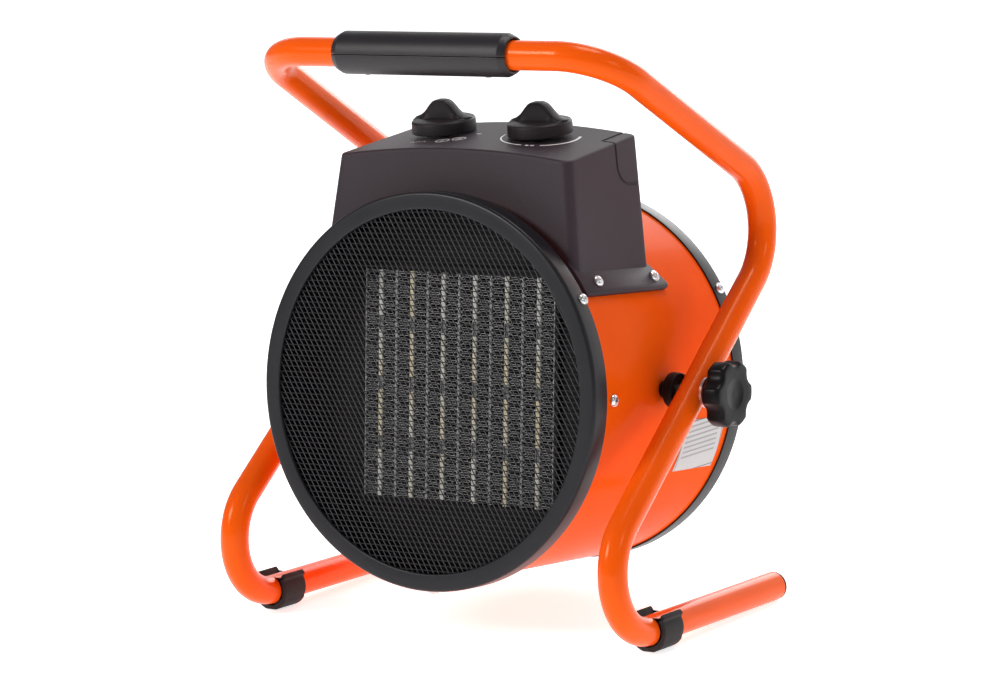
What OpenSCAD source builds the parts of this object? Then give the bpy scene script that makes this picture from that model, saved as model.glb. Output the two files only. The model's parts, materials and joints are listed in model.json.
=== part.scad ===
// Portable ceramic fan heater: a round drum that tilts in a bent-tube stand.
// Millimetres, +Z up, front towards -Y. The origin is on the floor under the middle of the stand.

/* [Stand] */
// Outside diameter of the bent tube
tube_d = 19; // [17:0.5:20]
// Wall thickness of the bent tube
tube_wall = 1.5; // [1:0.1:2]
// Height of the tilt pivots over the floor
pivot_z = 155.2; // [150:0.1:165]
// Distance of the pivots behind the middle of the stand
pivot_y = 2.4; // [0:0.1:5]
// Half distance between the tube centres at the top bar
bar_half = 135.5; // [132:0.5:140]
// Half distance between the tube centres at the pivots
pivot_half = 146; // [145:0.5:150]
// Half distance between the tube centres at the feet
foot_half = 149; // [146:0.5:153]
// How far the top bar stands in front of the pivots
bar_front = 71; // [60:1:80]
// Height of the top bar over the pivots
bar_rise = 221.7; // [215:0.1:235]
// Slope of the long leg, in degrees from level
leg_angle = 37.2; // [35:0.1:40]
// Length along the leg from the pivot to the rear corner
elbow_reach = 169; // [160:1:175]
// How far the rear ends of the feet stand behind the pivots
heel_back = 87; // [80:1:95]
// Bend radius at the rear corners
elbow_bend = 46; // [42:1:50]
// Bend radius at the toes and at the ends of the top bar
corner_bend = 40; // [36:1:42]

/* [Grip and feet] */
// Length of the hand grip
grip_length = 136; // [120:1:150]
// Outside diameter of the hand grip
grip_d = 28; // [26:0.5:32]
// Distance between the two grip screws
grip_screw_gap = 94; // [80:1:110]
// Wall thickness of the rubber foot clips
clip_wall = 4; // [3:0.5:5]
// Width of the rubber foot clips along the foot
clip_width = 22; // [18:1:26]
// How far the middle of a foot clip stands in front of the pivots
clip_front = 60; // [56:1:61]

/* [Drum] */
// Outside radius of the sheet-metal drum
drum_r = 123.5; // [122:0.5:124]
// Wall thickness of the drum
drum_wall = 1.2; // [1:0.1:1.5]
// Distance of the front ring's face in front of the pivots
drum_front = 90.5; // [88:0.5:94]
// Distance of the rear ring's face behind the pivots
drum_back = 100.5; // [98:0.5:104]
// Drop of the drum's axis under the pivots
axis_drop = 3; // [2:0.5:5]
// Tilt of the drum as it stands, in degrees, front upwards
rest_tilt = 5.6; // [0:0.1:8]
// Outside radius of the front ring
front_ring_r = 129; // [128:0.5:130]
// Radius of the front opening
front_opening_r = 117.4; // [114:0.2:118]
// Depth of the front ring
front_ring_depth = 15; // [13:0.5:16]
// Outside radius of the rear ring
rear_ring_r = 124.8; // [124.6:0.1:125.4]
// Radius of the rear opening
rear_opening_r = 113; // [108:1:116]
// Depth of the rear ring
rear_ring_depth = 14; // [12:0.5:16]
// Distance between neighbouring cells of the guards
mesh_pitch = 20; // [14:1:24]
// Width of one strand of the guards
mesh_strand = 3; // [1.5:0.5:4]

/* [Control box] */
// Half width of the box at its front top corners
box_half_top = 90; // [85:0.5:92]
// Half width of the box where it meets its flanges
box_half_low = 98.6; // [96:0.2:102]
// Front wall at the flange level, in front of the pivots
box_front_low = 67.5; // [66:0.5:71]
// Front wall at the top, in front of the pivots
box_front_top = 63.8; // [62:0.2:66]
// Rear wall of the box, behind the pivots
box_back = 20; // [16:1:24]
// Height of the panel's front edge over the drum's axis
panel_z = 155.8; // [153:0.2:160]
// Rise of the panel towards the rear, in degrees
panel_slope = 10.6; // [9:0.2:12]
// Arch radius of the panel
panel_arch = 643; // [600:1:700]
// Wall thickness of the box
box_wall = 2.5; // [2:0.1:3]
// Rounding of the box's upright edges
box_corner = 6.2; // [5:0.2:8]

/* [Knobs] */
// Half distance between the two control knobs
knob_half = 37.8; // [36:0.2:40]
// Distance of the control knobs in front of the pivots
knob_front = 16.5; // [14:0.5:20]
// Diameter of the control knobs
knob_d = 43; // [40:0.5:45]
// Height of the control knobs
knob_h = 21; // [18:0.5:24]
// Diameter of the star knobs
star_d = 44; // [40:0.5:46]
// Thickness of the star knobs
star_t = 19.5; // [17:0.5:21]
// Number of lobes on a star knob
star_lobes = 6; // [5:1:8]
// Diameter of the clamping studs
stud_d = 8; // [8:0.5:8.5]

/* [Heater and fan] */
// Number of heating rows
row_count = 6; // [5:1:7]
// Distance between heating rows
row_pitch = 24.8; // [24:0.1:25]
// Height of the heating rows
row_height = 149; // [140:1:150]
// Front of the heating rows, in front of the pivots
row_front = 53; // [50:0.5:56]
// Depth of the heating rows
row_depth = 16; // [14:1:18]
// Number of fan blades
blade_count = 6; // [5:1:8]
// Radius of the fan
fan_r = 104; // [95:1:106]
// Pitch of the fan blades, in degrees
blade_pitch = 30; // [20:1:35]

/* [Hidden] */
$fn = 64;
hull_fn = 32;
eps = 0.01;
gap = 0.3;             // space between parts that do not touch
running = 0.05;        // radial clearance of a turning fit
tube_r = tube_d / 2;
grip_r = grip_d / 2;
stud_r = stud_d / 2;
hole_r = 1.7;          // shank hole of the small screws
collar_share = 1 / 6;  // length of the collar at the end of a bend, as a share of the bar's radius
collar_step = 0.01;    // how far that collar stands proud, as a share of the bar's radius
clamp_gap = 0.45;      // space between the tube and the parts clamped against it
screw_head_r = 4;
screw_head_h = 2.4;
shell_front = -drum_front + 3.4;
shell_back = drum_back - 3.4;
drum_in = drum_r - drum_wall;
mesh_t = 0.8;
ring_lip = 2.2;        // thickness of the rings' front and rear lips
ring_screw_y = [-79, 93.5];
ring_screw_angles = [60, 180, 300];
shield_r = 116.5;      // outside radius of the inner heat shield
shield_wall = 0.8;
shield_y = [-73, 36];
shield_screw_y = -60;
flange_r = drum_r + gap;
flange_t = 3.4;
flange_low = 58.5;     // angle of the flange's lower edge from the top of the drum
flange_y = [-68, 31];
flange_screw_angle = 54.4;
flange_screw_y = [-48.7, 18.8];
spacer_r = 11.5;
spacer_neck_r = 7;
spacer_step = 130;     // distance of the spacer's shoulder from the middle
washer_t = 2;
star_in = pivot_half + tube_r + clamp_gap + washer_t + 0.05;
nut_r = 7.5;
cover_y = -7;          // front edge of the corner cover
cover_x = 79;
cover_low = 134;
motor_y = [39, 83];
motor_r = 34;
shaft_r = 4;
hub_r = 24;
fan_y = [10, 34];
spindle_r = 3;
knob_axis_tilt = panel_slope;
panel_at_knob = panel_z + (box_front_top - knob_front) * tan(panel_slope)
    - knob_half * knob_half / (2 * panel_arch);
knob_lift = 2;         // height of the knob's skirt over the panel
row_half = row_count * row_pitch / 2;
bar_height = 8;        // width of a heating bar between its fins
terminal_z = drum_r + 0.05;

// ---------- helpers ----------

// Unit vector along v
function unit(v) = v / norm(v);

// Direction of a path's leg i
function heading(path, i) = unit(path[i + 1] - path[i]);

// Turn of a path at its corner i, none at its ends
function turn_at(path, i) =
    i <= 0 || i >= len(path) - 1 ? 0 : acos(heading(path, i - 1) * heading(path, i));

// Axis that a path bends round at its corner i
function bend_axis(path, i) = unit(cross(heading(path, i - 1), heading(path, i)));

// Twist about leg i from the plane of the bend before it to the plane of the bend after it
function twist(path, i) =
    let (a = bend_axis(path, i), b = bend_axis(path, i + 1))
    atan2(cross(a, b) * heading(path, i), a * b);

// Straight length of leg i between its bends
function straight(path, radii, i) = norm(path[i + 1] - path[i])
    - radii[i] * tan(turn_at(path, i) / 2) - radii[i + 1] * tan(turn_at(path, i + 1) / 2);

// Height of the foot's centreline at a distance y behind the pivots
function foot_z(y) = tube_r + (heel_back - y) * foot_rise;

// Leg i of a round bar from here along +Z, then its bend towards +X, then the legs that follow.
// A short collar joins each leg to its bend.
module leg(path, radii, r, i) {
    length = straight(path, radii, i);
    collar = r * collar_share;
    collar_r = r * (1 + collar_step);
    first = i == 0;
    last = i >= len(path) - 2;
    translate([0, 0, first ? 0 : collar])
        cylinder(h = length - (first ? 0 : collar) - (last ? 0 : collar), r = r);
    if (!first) translate([0, 0, -collar]) cylinder(h = 2.5 * collar, r = collar_r);
    if (!last) translate([0, 0, length]) {
        big = radii[i + 1];
        turn = turn_at(path, i + 1);
        translate([0, 0, -1.5 * collar]) cylinder(h = 2.5 * collar, r = collar_r);
        translate([big, 0, 0]) rotate([90, 0, 180])
            rotate_extrude(angle = turn) translate([big, 0]) circle(r = r);
        translate([big, 0, 0]) rotate([0, turn, 0]) translate([-big, 0, 0])
            rotate([0, 0, i < len(path) - 3 ? twist(path, i + 1) : 0]) leg(path, radii, r, i + 1);
    }
}

// Round bar of radius r along a path, with a bend of its own radius at each corner
module bent_rod(path, radii, r) {
    u = heading(path, 0);
    k = bend_axis(path, 1);
    inward = cross(k, u);
    multmatrix([
        [inward.x, k.x, u.x, path[0].x],
        [inward.y, k.y, u.y, path[0].y],
        [inward.z, k.z, u.z, path[0].z],
        [0, 0, 0, 1]])
        leg(path, radii, r, 0);
}

// Thin wire along a path, all its bends alike
module wire(path, big, r) {
    bent_rod(path, [for (p = path) big], r);
}

// Moves the stand's own points, measured from the pivots, into place
module at_pivot() {
    translate([0, pivot_y, pivot_z]) children();
}

// Moves drum parts, measured from the drum's axis under the pivots, into place
module in_drum() {
    at_pivot() rotate([-rest_tilt, 0, 0]) translate([0, 0, -axis_drop]) children();
}

// Turns +Z to point rearwards, for round parts on the drum's axis
module along_drum() {
    rotate([-90, 0, 0]) children();
}

// Puts a part on the drum's surface, +Z outwards, at an angle from the top
module on_drum(angle, y, r) {
    rotate([0, angle, 0]) translate([0, y, r]) children();
}

// Turns +Z to point along +X (side 1) or -X (side -1)
module sideways(side) {
    rotate([0, 90 * side, 0]) children();
}

// Pan-head screw: head above z = 0, shank below
module screw(length) {
    difference() {
        cylinder(h = screw_head_h, r1 = screw_head_r, r2 = screw_head_r - 1.2);
        for (a = [0, 90]) rotate([0, 0, a])
            translate([-2.2, -0.5, screw_head_h - 1.2]) cube([4.4, 1, 2]);
    }
    translate([0, 0, -length]) cylinder(h = length + eps, r = hole_r - 0.1);
}

// Ring of rectangular section between radii a and b
module ring(a, b, h) {
    difference() {
        cylinder(h = h, r = b);
        translate([0, 0, -1]) cylinder(h = h + 2, r = a);
    }
}

// ---------- stand ----------

foot_rise = clip_wall / (heel_back + clip_front);
toe_y = (tube_r + heel_back * foot_rise - pivot_z) / (tan(leg_angle) + foot_rise);
leg_spread = (foot_half - pivot_half) / toe_y;   // sideways drift of the leg per mm of depth
elbow_y = elbow_reach * cos(leg_angle);

// Corners of one side of the stand, from the rear end of the foot to the top bar
function side_path(side, past) = [
    [side * foot_half, heel_back + past, foot_z(heel_back + past) - pivot_z],
    [side * foot_half, toe_y, foot_z(toe_y) - pivot_z],
    [side * (pivot_half + leg_spread * elbow_y), elbow_y, elbow_y * tan(leg_angle)],
    [side * bar_half, -bar_front, bar_rise]];

function reversed(list) = [for (i = [len(list) - 1:-1:0]) list[i]];

module stand_line(r, past) {
    radii = [0, corner_bend, elbow_bend, corner_bend];
    bent_rod(concat(side_path(-1, past), reversed(side_path(1, past))),
        concat(radii, reversed(radii)), r);
}

module frame_tube() {
    color("darkorange") at_pivot() difference() {
        stand_line(tube_r, 0);
        stand_line(tube_r - tube_wall, 2);
        sideways(1) cylinder(h = 2 * foot_half + 40, r = stud_r + 0.4, center = true);
        for (side = [-1, 1]) translate([side * grip_screw_gap / 2, -bar_front, bar_rise - tube_d])
            cylinder(h = 2 * tube_d, r = hole_r + 0.3);
    }
}

// Hand grip before it is split: waisted ends, bored for the tube
module grip_body() {
    end = grip_length / 2;
    translate([0, -bar_front, bar_rise]) sideways(1) rotate_extrude()
        polygon([[tube_r + 0.05, -end], [grip_r - 2.4, -end], [grip_r, -end + 3.6],
            [grip_r, end - 3.6], [grip_r - 2.4, end], [tube_r + 0.05, end]]);
}

module grip_half(upper) {
    shift = upper ? 0.1 : -0.1 - grip_d;
    intersection() {
        grip_body();
        translate([-grip_length, -bar_front - grip_d, bar_rise + shift])
            cube([2 * grip_length, 2 * grip_d, grip_d]);
    }
}

module grip_upper() {
    color("dimgray") at_pivot() difference() {
        grip_half(true);
        for (side = [-1, 1]) translate([side * grip_screw_gap / 2, -bar_front, bar_rise])
            cylinder(h = grip_r - 1.5, r = hole_r);
    }
}

module grip_lower() {
    color("dimgray") at_pivot() difference() {
        grip_half(false);
        for (side = [-1, 1]) translate([side * grip_screw_gap / 2, -bar_front, bar_rise]) {
            translate([0, 0, -grip_d]) cylinder(h = grip_d, r = hole_r);
            translate([0, 0, -grip_d]) cylinder(h = grip_d - grip_r + 1.4, r = screw_head_r + 0.2);
        }
    }
}

module grip_screws() {
    color("silver") at_pivot() for (side = [-1, 1])
        translate([side * grip_screw_gap / 2, -bar_front, bar_rise - grip_r + 1.3])
            rotate([180, 0, 0]) screw(grip_d - 5);
}

// Section of the open rubber clip round the foot, opening upwards
module clip_section() {
    outer = tube_r + clip_wall;
    base_w = 11;
    difference() {
        union() {
            circle(r = outer);
            translate([-base_w / 2, -outer - 1]) square([base_w, outer]);
        }
        circle(r = tube_r + 0.25);
        polygon([[0, 0], [-22, 24], [22, 24]]);
    }
    for (side = [-1, 1]) rotate(-side * 43) translate([side * -1.6, tube_r + 0.6])
        translate([-1.6, 0]) square([3.2, clip_wall + 2.6]);
}

module foot_clip(side) {
    color("#202020") intersection() {
        translate([side * foot_half, pivot_y - clip_front, foot_z(-clip_front)])
            rotate([90 - atan(foot_rise), 0, 0]) linear_extrude(clip_width, center = true) clip_section();
        translate([side * foot_half - 40, -200, 0]) cube([80, 400, 60]);
    }
}

module end_cap(side) {
    cap_t = 2.2;
    color("#252525") translate([side * foot_half, pivot_y + heel_back, foot_z(heel_back)])
        rotate([-90 - atan(foot_rise), 0, 0]) {
            translate([0, 0, 0.05]) cylinder(h = cap_t, r = tube_r);
            translate([0, 0, -12]) cylinder(h = 12 + 0.1, r = tube_r - tube_wall - 0.1);
        }
}

// ---------- tilt pivots ----------

// Puts a part on the tilt axis, +Z outwards, z measured from the middle of the heater
module on_pivot(side) {
    at_pivot() rotate([-rest_tilt, 0, 0]) sideways(side) children();
}

module spacer(side) {
    color("#252525") in_drum() difference() {
        translate([0, 0, axis_drop]) sideways(side) {
            translate([0, 0, drum_r - 2]) cylinder(h = spacer_step - drum_r + 2.5, r = spacer_neck_r);
            translate([0, 0, spacer_step])
                cylinder(h = pivot_half - tube_r - clamp_gap - spacer_step, r = spacer_r);
        }
        translate([0, 0, axis_drop]) sideways(side) cylinder(h = 160, r = stud_r + running);
        along_drum() cylinder(h = 80, r = drum_r + 0.05, center = true);
    }
}

module pivot_nut(side) {
    color("silver") on_pivot(side) translate([0, 0, drum_in - 10]) difference() {
        cylinder(h = 9.4, r = nut_r, $fn = 6);
        translate([0, 0, -1]) cylinder(h = 12, r = stud_r + running);
    }
}

module stud(side) {
    color("silver") on_pivot(side)
        translate([0, 0, drum_in - 14]) cylinder(h = star_in + 8 - drum_in + 14, r = stud_r);
}

module star_washer(side) {
    color("silver") on_pivot(side) translate([0, 0, pivot_half + tube_r + clamp_gap])
        ring(stud_r + running, 10, washer_t);
}

module star_knob(side) {
    neck = 6;
    scallop_r = star_d * 0.2;
    color("#1e1e1e") on_pivot(side) translate([0, 0, star_in]) difference() {
        union() {
            cylinder(h = neck + 2, r = star_d / 4);
            translate([0, 0, neck]) difference() {
                cylinder(h = star_t - neck, r = star_d / 2);
                for (i = [0:star_lobes - 1]) rotate([0, 0, i * 360 / star_lobes])
                    translate([star_d / 2 + scallop_r * 0.6, 0, -1]) cylinder(h = star_t, r = scallop_r);
            }
        }
        translate([0, 0, -1]) cylinder(h = 9 + 1, r = stud_r);
    }
}

// ---------- drum ----------

module drum_shell() {
    color("orangered") in_drum() difference() {
        translate([0, shell_front, 0]) along_drum() ring(drum_in, drum_r, shell_back - shell_front);
        translate([0, 0, axis_drop]) sideways(1) cylinder(h = 300, r = stud_r + 0.5, center = true);
        translate([-50, -55, 90]) cube([100, 60, 50]);
        for (y = ring_screw_y, a = ring_screw_angles) on_drum(a, y, 100) cylinder(h = 40, r = hole_r);
        for (a = [90, 270]) on_drum(a, shield_screw_y, 100) cylinder(h = 40, r = hole_r);
        for (y = flange_screw_y, side = [-1, 1])
            on_drum(side * flange_screw_angle, y, 100) cylinder(h = 40, r = hole_r);
    }
}

module heat_shield() {
    color("silver") in_drum() difference() {
        translate([0, shield_y[0], 0]) along_drum()
            ring(shield_r - shield_wall, shield_r, shield_y[1] - shield_y[0]);
        translate([-50, -55, 90]) cube([100, 60, 50]);
        translate([0, 0, axis_drop]) sideways(1) cylinder(h = 300, r = nut_r + 3, center = true);
        for (a = [90, 270]) on_drum(a, shield_screw_y, 100) cylinder(h = 40, r = hole_r);
    }
}

module front_ring() {
    face = -drum_front;
    color("#3a3a40") in_drum() difference() {
        translate([0, face, 0]) along_drum() rotate_extrude() polygon([
            [front_opening_r, 0.6], [front_opening_r + 0.6, 0], [front_ring_r - 1.6, 0],
            [front_ring_r, 1.6], [front_ring_r, front_ring_depth - 0.8],
            [front_ring_r - 0.8, front_ring_depth], [drum_r + 0.2, front_ring_depth],
            [drum_r + 0.2, ring_lip], [front_opening_r, ring_lip]]);
        for (a = ring_screw_angles) on_drum(a, ring_screw_y[0], 100) cylinder(h = 40, r = hole_r);
    }
}

module rear_ring() {
    color("#3a3a40") in_drum() difference() {
        translate([0, drum_back - rear_ring_depth, 0]) along_drum() rotate_extrude() polygon([
            [drum_r + 0.2, 0], [rear_ring_r, 0], [rear_ring_r, rear_ring_depth - 1],
            [rear_ring_r - 1, rear_ring_depth], [rear_opening_r, rear_ring_depth],
            [rear_opening_r, rear_ring_depth - ring_lip], [drum_r + 0.2, rear_ring_depth - ring_lip]]);
        for (a = ring_screw_angles) on_drum(a, ring_screw_y[1], 100) cylinder(h = 40, r = hole_r);
    }
}

// Round guard of diamond mesh
module guard(r) {
    reach = ceil(r / mesh_pitch);
    cell = mesh_pitch - mesh_strand;
    linear_extrude(mesh_t) difference() {
        circle(r = r);
        for (i = [-2 * reach:2 * reach], j = [-reach:reach]) {
            x = i * mesh_pitch / 2;
            y = (j + (i % 2 == 0 ? 0 : 0.5)) * mesh_pitch;
            if (norm([x, y]) < r - 15)
                polygon([[x - cell / 2, y], [x, y - cell / 2 - 1], [x + cell / 2, y], [x, y + cell / 2 + 1]]);
        }
    }
}

module front_guard() {
    color("#222222") in_drum() translate([0, -drum_front + ring_lip + 0.2, 0])
        along_drum() guard(drum_r - 0.2);
}

module rear_guard() {
    color("#222222") in_drum() translate([0, drum_back - ring_lip - 0.2 - mesh_t, 0])
        along_drum() guard(drum_r - 0.2);
}

module ring_screws() {
    color("silver") in_drum() for (a = ring_screw_angles) {
        on_drum(a, ring_screw_y[0], front_ring_r) screw(front_ring_r - drum_in + 2);
        on_drum(a, ring_screw_y[1], rear_ring_r) screw(rear_ring_r - drum_in + 4);
    }
}

module shield_screws() {
    color("silver") in_drum() for (a = [90, 270])
        on_drum(a, shield_screw_y, drum_r + 0.05) screw(drum_r - shield_r + 5);
}

module rating_plate() {
    color("lightgray") in_drum() intersection() {
        along_drum() ring(drum_r + 0.05, drum_r + 0.45, 90);
        translate([80, 32, -54]) cube([60, 48, 34]);
    }
}

// ---------- control box ----------

// Block between the box's four walls; shrink moves the walls inwards
module box_block(shrink) {
    low_z = 82;
    top_z = 150;
    draft = (box_half_low - box_half_top) / (top_z - low_z);
    lean = (box_front_low - box_front_top) / (top_z - low_z);
    r = box_corner - (shrink > 0 ? 2 : 0);
    hull() for (z = [40, 200], side = [-1, 1], front = [true, false]) {
        half = box_half_low - draft * (z - low_z) - shrink - r;
        y = front ? -box_front_low + lean * (z - low_z) + shrink + r : box_back - shrink - r;
        translate([side * half, y, z]) cylinder(h = eps, r = r, $fn = hull_fn);
    }
}

// Everything under the arched panel, lowered by drop
module under_panel(drop) {
    translate([0, -box_front_top, panel_z - drop]) rotate([panel_slope, 0, 0])
        translate([0, 0, -panel_arch]) along_drum()
            cylinder(h = 400, r = panel_arch, center = true, $fn = 400);
}

module box_shell() {
    difference() {
        intersection() {
            box_block(0);
            under_panel(0);
        }
        intersection() {
            box_block(box_wall);
            under_panel(box_wall);
        }
        translate([0, -100, 0]) along_drum() cylinder(h = 200, r = flange_r);
    }
}

// Curved flange that bolts one side of the box to the drum
module box_flange(side) {
    intersection() {
        translate([0, flange_y[0], 0]) along_drum()
            ring(flange_r, flange_r + flange_t, flange_y[1] - flange_y[0]);
        linear_extrude(200) polygon([
            [side * 86, flange_y[0]], [side * 112, flange_y[0]], [side * 112, flange_y[1] - 6],
            [side * 108, flange_y[1]], [side * 96, flange_y[1]], [side * 86, box_back - 2]]);
        rotate([0, side * (flange_low - 90), 0]) translate([-200, -100, 0]) cube([400, 200, 200]);
    }
}

// Outline of the corner cover seen from the side, grown by grow
module cover_prism(grow) {
    r = 12;
    translate([cover_x - grow, 0, 0]) rotate([90, 0, 90]) linear_extrude(60) union() {
        translate([cover_y - grow, cover_low + r]) square([60, 60]);
        translate([cover_y + r, cover_low - grow]) square([60, 60]);
        translate([cover_y + r, cover_low + r]) circle(r = r + grow);
    }
}

module knob_place(side) {
    translate([side * knob_half, -knob_front, panel_at_knob]) rotate([knob_axis_tilt, 0, 0]) children();
}

module control_box() {
    color("#403c40") in_drum() difference() {
        union() {
            box_shell();
            for (side = [-1, 1]) box_flange(side);
        }
        cover_prism(gap);
        for (side = [-1, 1]) {
            knob_place(side) cylinder(h = 20, r = spindle_r + 1, center = true);
            for (y = flange_screw_y) on_drum(side * flange_screw_angle, y, 100)
                cylinder(h = 40, r = hole_r);
        }
        translate([-45, box_back - 10, 140]) along_drum() cylinder(h = 20, r = 8);
    }
}

module corner_cover() {
    color("#3a363a") in_drum() intersection() {
        box_shell();
        cover_prism(0);
    }
}

module box_screws() {
    color("silver") in_drum() for (side = [-1, 1], y = flange_screw_y)
        on_drum(side * flange_screw_angle, y, flange_r + flange_t + 0.05) screw(flange_t + 4);
}

module cable_gland() {
    color("#202020") in_drum() translate([-45, box_back, 140]) along_drum() difference() {
        union() {
            translate([0, 0, -box_wall - 5]) cylinder(h = box_wall + 5.2, r = 7.8);
            translate([0, 0, 0.1]) cylinder(h = 5, r = 12, $fn = 6);
            translate([0, 0, 5]) cylinder(h = 9, r1 = 10.5, r2 = 7);
        }
        translate([0, 0, -20]) cylinder(h = 60, r = 4);
    }
}

// Control knob: round skirt with a bell-shaped finger ridge
module knob_body() {
    skirt = 8.5;
    ridge_w = 11;
    hub_r = 6;
    difference() {
        union() {
            difference() {
                union() {
                    cylinder(h = skirt - 1.5, r = knob_d / 2);
                    translate([0, 0, skirt - 1.5]) cylinder(h = 1.5, r1 = knob_d / 2, r2 = knob_d / 2 - 1.5);
                    intersection() {
                        rotate([90, 0, 0]) linear_extrude(ridge_w, center = true) polygon([
                            [-knob_d / 2 + 2, 0], [-knob_d / 2 + 2, skirt], [-11, skirt + 5], [-6, knob_h],
                            [6, knob_h], [11, skirt + 5], [knob_d / 2 - 2, skirt], [knob_d / 2 - 2, 0]]);
                        cylinder(h = knob_h, r = knob_d / 2 - 1);
                    }
                }
                translate([0, 0, -1]) cylinder(h = skirt - 2, r = knob_d / 2 - 2.5);
            }
            cylinder(h = skirt - 1, r = hub_r);
        }
        translate([0, 0, -1]) cylinder(h = skirt, r = spindle_r);
    }
}

module mode_knob() {
    color("#262428") in_drum() knob_place(-1) translate([0, 0, knob_lift]) knob_body();
}

module thermostat_knob() {
    color("#262428") in_drum() knob_place(1) translate([0, 0, knob_lift]) knob_body();
}

module spindle(side) {
    color("silver") in_drum() knob_place(side) translate([0, 0, -box_wall - 14])
        cylinder(h = box_wall + 14 + knob_lift + 7, r = spindle_r - 0.02);
}

// Electrical block under the panel, bored for its spindle
module control_body(side, width, depth, height) {
    in_drum() knob_place(side) translate([0, 0, -box_wall - 1.5 - height]) difference() {
        union() {
            translate([-width / 2, -depth / 2, 0]) cube([width, depth, height - 3]);
            cylinder(h = height, r = 7);
        }
        translate([0, 0, height - 13]) cylinder(h = 20, r = spindle_r + running);
    }
}

module selector_switch() {
    color("#d8d4c8") control_body(-1, 34, 34, 24);
}

module thermostat() {
    color("#c8c4bc") control_body(1, 38, 32, 22);
}

module thermostat_bulb() {
    x = 24;
    color("#b87333") in_drum() {
        wire([[x, -8, 137.8], [x, -8, 110], [x, 74, 110], [x, 74, 96]], 4, 1);
        translate([x, 74, 60]) cylinder(h = 37, r = 3.5);
    }
}

module terminal_block() {
    color("#e8e4d8") in_drum() translate([-22, -5, terminal_z]) difference() {
        cube([44, 18, 14]);
        for (x = [8, 22, 36]) translate([x, 9, 4]) cylinder(h = 20, r = 3);
    }
}

// ---------- heater and fan ----------

module baffle_plate() {
    color("#303030") in_drum() translate([0, -row_front + 4, 0]) along_drum() difference() {
        cylinder(h = 1, r = shield_r - shield_wall - 0.2);
        translate([-row_half - 3.2, -row_height / 2 - 5.2, -1])
            cube([2 * row_half + 6.4, row_height + 10.4, 3]);
    }
}

// Frame round the heating rows
module element_frame() {
    wide = row_half + 3;
    tall = row_height / 2 + 5;
    color("gray") in_drum() translate([0, -row_front - 0.5, 0]) along_drum() linear_extrude(row_depth + 1)
        difference() {
            square([2 * wide, 2 * tall], center = true);
            square([2 * wide - 5, 2 * tall - 9.4], center = true);
        }
}

// Calls its children once for each heating row, with x at the row's middle
module each_row() {
    for (i = [0:row_count - 1]) translate([(i + 0.5) * row_pitch - row_half, 0, 0]) children();
}

module heating_bars() {
    color("#e8dcb8") in_drum() each_row() translate([-bar_height / 2, -row_front, -row_height / 2])
        cube([bar_height, row_depth, row_height]);
}

// Zigzag strip of folded foil between x = a and x = b
module folded_strip(a, b) {
    folds = 20;
    step = row_height / folds;
    foil = 0.8;
    up = [for (i = [0:folds]) [(i % 2 == 0 ? a : b - foil) + foil, i * step - row_height / 2]];
    down = [for (i = [folds:-1:0]) [i % 2 == 0 ? a : b - foil, i * step - row_height / 2]];
    polygon(concat(up, down));
}

module heating_fins() {
    inner = bar_height / 2 + 0.1;
    outer = row_pitch / 2 - 0.4;
    color("darkgray") in_drum() each_row() for (flip = [0, 1]) mirror([flip, 0, 0])
        translate([0, -row_front + row_depth - 0.2, 0]) rotate([90, 0, 0])
            linear_extrude(row_depth - 0.4) folded_strip(inner, outer);
}

module thermal_cutout() {
    color("#d8c8a8") in_drum() translate([0, -row_front + row_depth + 5, 84]) {
        along_drum() cylinder(h = 8, r = 8);
        translate([-14, 0, -1]) cube([28, 1, 10]);
    }
}

module motor_bracket() {
    arm_y = motor_y[1] + 0.2;
    color("gray") in_drum() difference() {
        union() {
            translate([0, arm_y, 0]) along_drum() cylinder(h = 2, r = 28);
            for (a = ring_screw_angles) {
                rotate([0, a, 0]) translate([-8, arm_y, 20]) cube([16, 2, drum_in - 22.8]);
                rotate([0, a, 0]) translate([-8, arm_y, drum_in - 3.4]) cube([16, 13, 2]);
            }
        }
        translate([0, arm_y - 1, 0]) along_drum() cylinder(h = 4, r = 12);
        for (a = ring_screw_angles) on_drum(a, ring_screw_y[1], 100) cylinder(h = 40, r = hole_r);
    }
}

module motor_housing() {
    color("dimgray") in_drum() translate([0, motor_y[0], 0]) along_drum() difference() {
        union() {
            cylinder(h = motor_y[1] - motor_y[0], r = motor_r);
            translate([0, 0, motor_y[1] - motor_y[0]]) cylinder(h = 3, r = 11.5);
        }
        translate([0, 0, 4]) cylinder(h = motor_y[1] - motor_y[0] - 8, r = motor_r - 3);
        translate([0, 0, -1]) cylinder(h = motor_y[1] - motor_y[0] - 2, r = shaft_r + running);
    }
}

module motor_rotor() {
    length = motor_y[1] - motor_y[0];
    color("silver") in_drum() translate([0, motor_y[0], 0]) along_drum() {
        translate([0, 0, fan_y[0] - motor_y[0] - 4])
            cylinder(h = motor_y[0] - fan_y[0] + 4 + length - 4, r = shaft_r);
        translate([0, 0, 9]) cylinder(h = length - 18, r = motor_r - 8);
    }
}

module fan() {
    width = fan_y[1] - fan_y[0];
    color("#303030") in_drum() translate([0, fan_y[0], 0]) along_drum() difference() {
        union() {
            cylinder(h = width, r = hub_r);
            intersection() {
                for (i = [0:blade_count - 1]) rotate([0, 0, i * 360 / blade_count])
                    translate([0, 0, width / 2]) rotate([blade_pitch, 0, 0])
                        translate([hub_r - 3, -22, -0.9]) cube([fan_r, 44, 1.8]);
                cylinder(h = width, r = fan_r);
            }
        }
        translate([0, 0, -1]) cylinder(h = width + 2, r = shaft_r);
    }
}

module heater_leads() {
    front = -5.2;
    down = -row_front + row_depth / 2;
    color("firebrick") in_drum() for (side = [-1, 1])
        wire([[side * 16, front, terminal_z + 4], [side * 16, down, terminal_z + 4],
            [side * 16, down, row_height / 2 + 5.3]], 6, 1.6);
}

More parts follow.
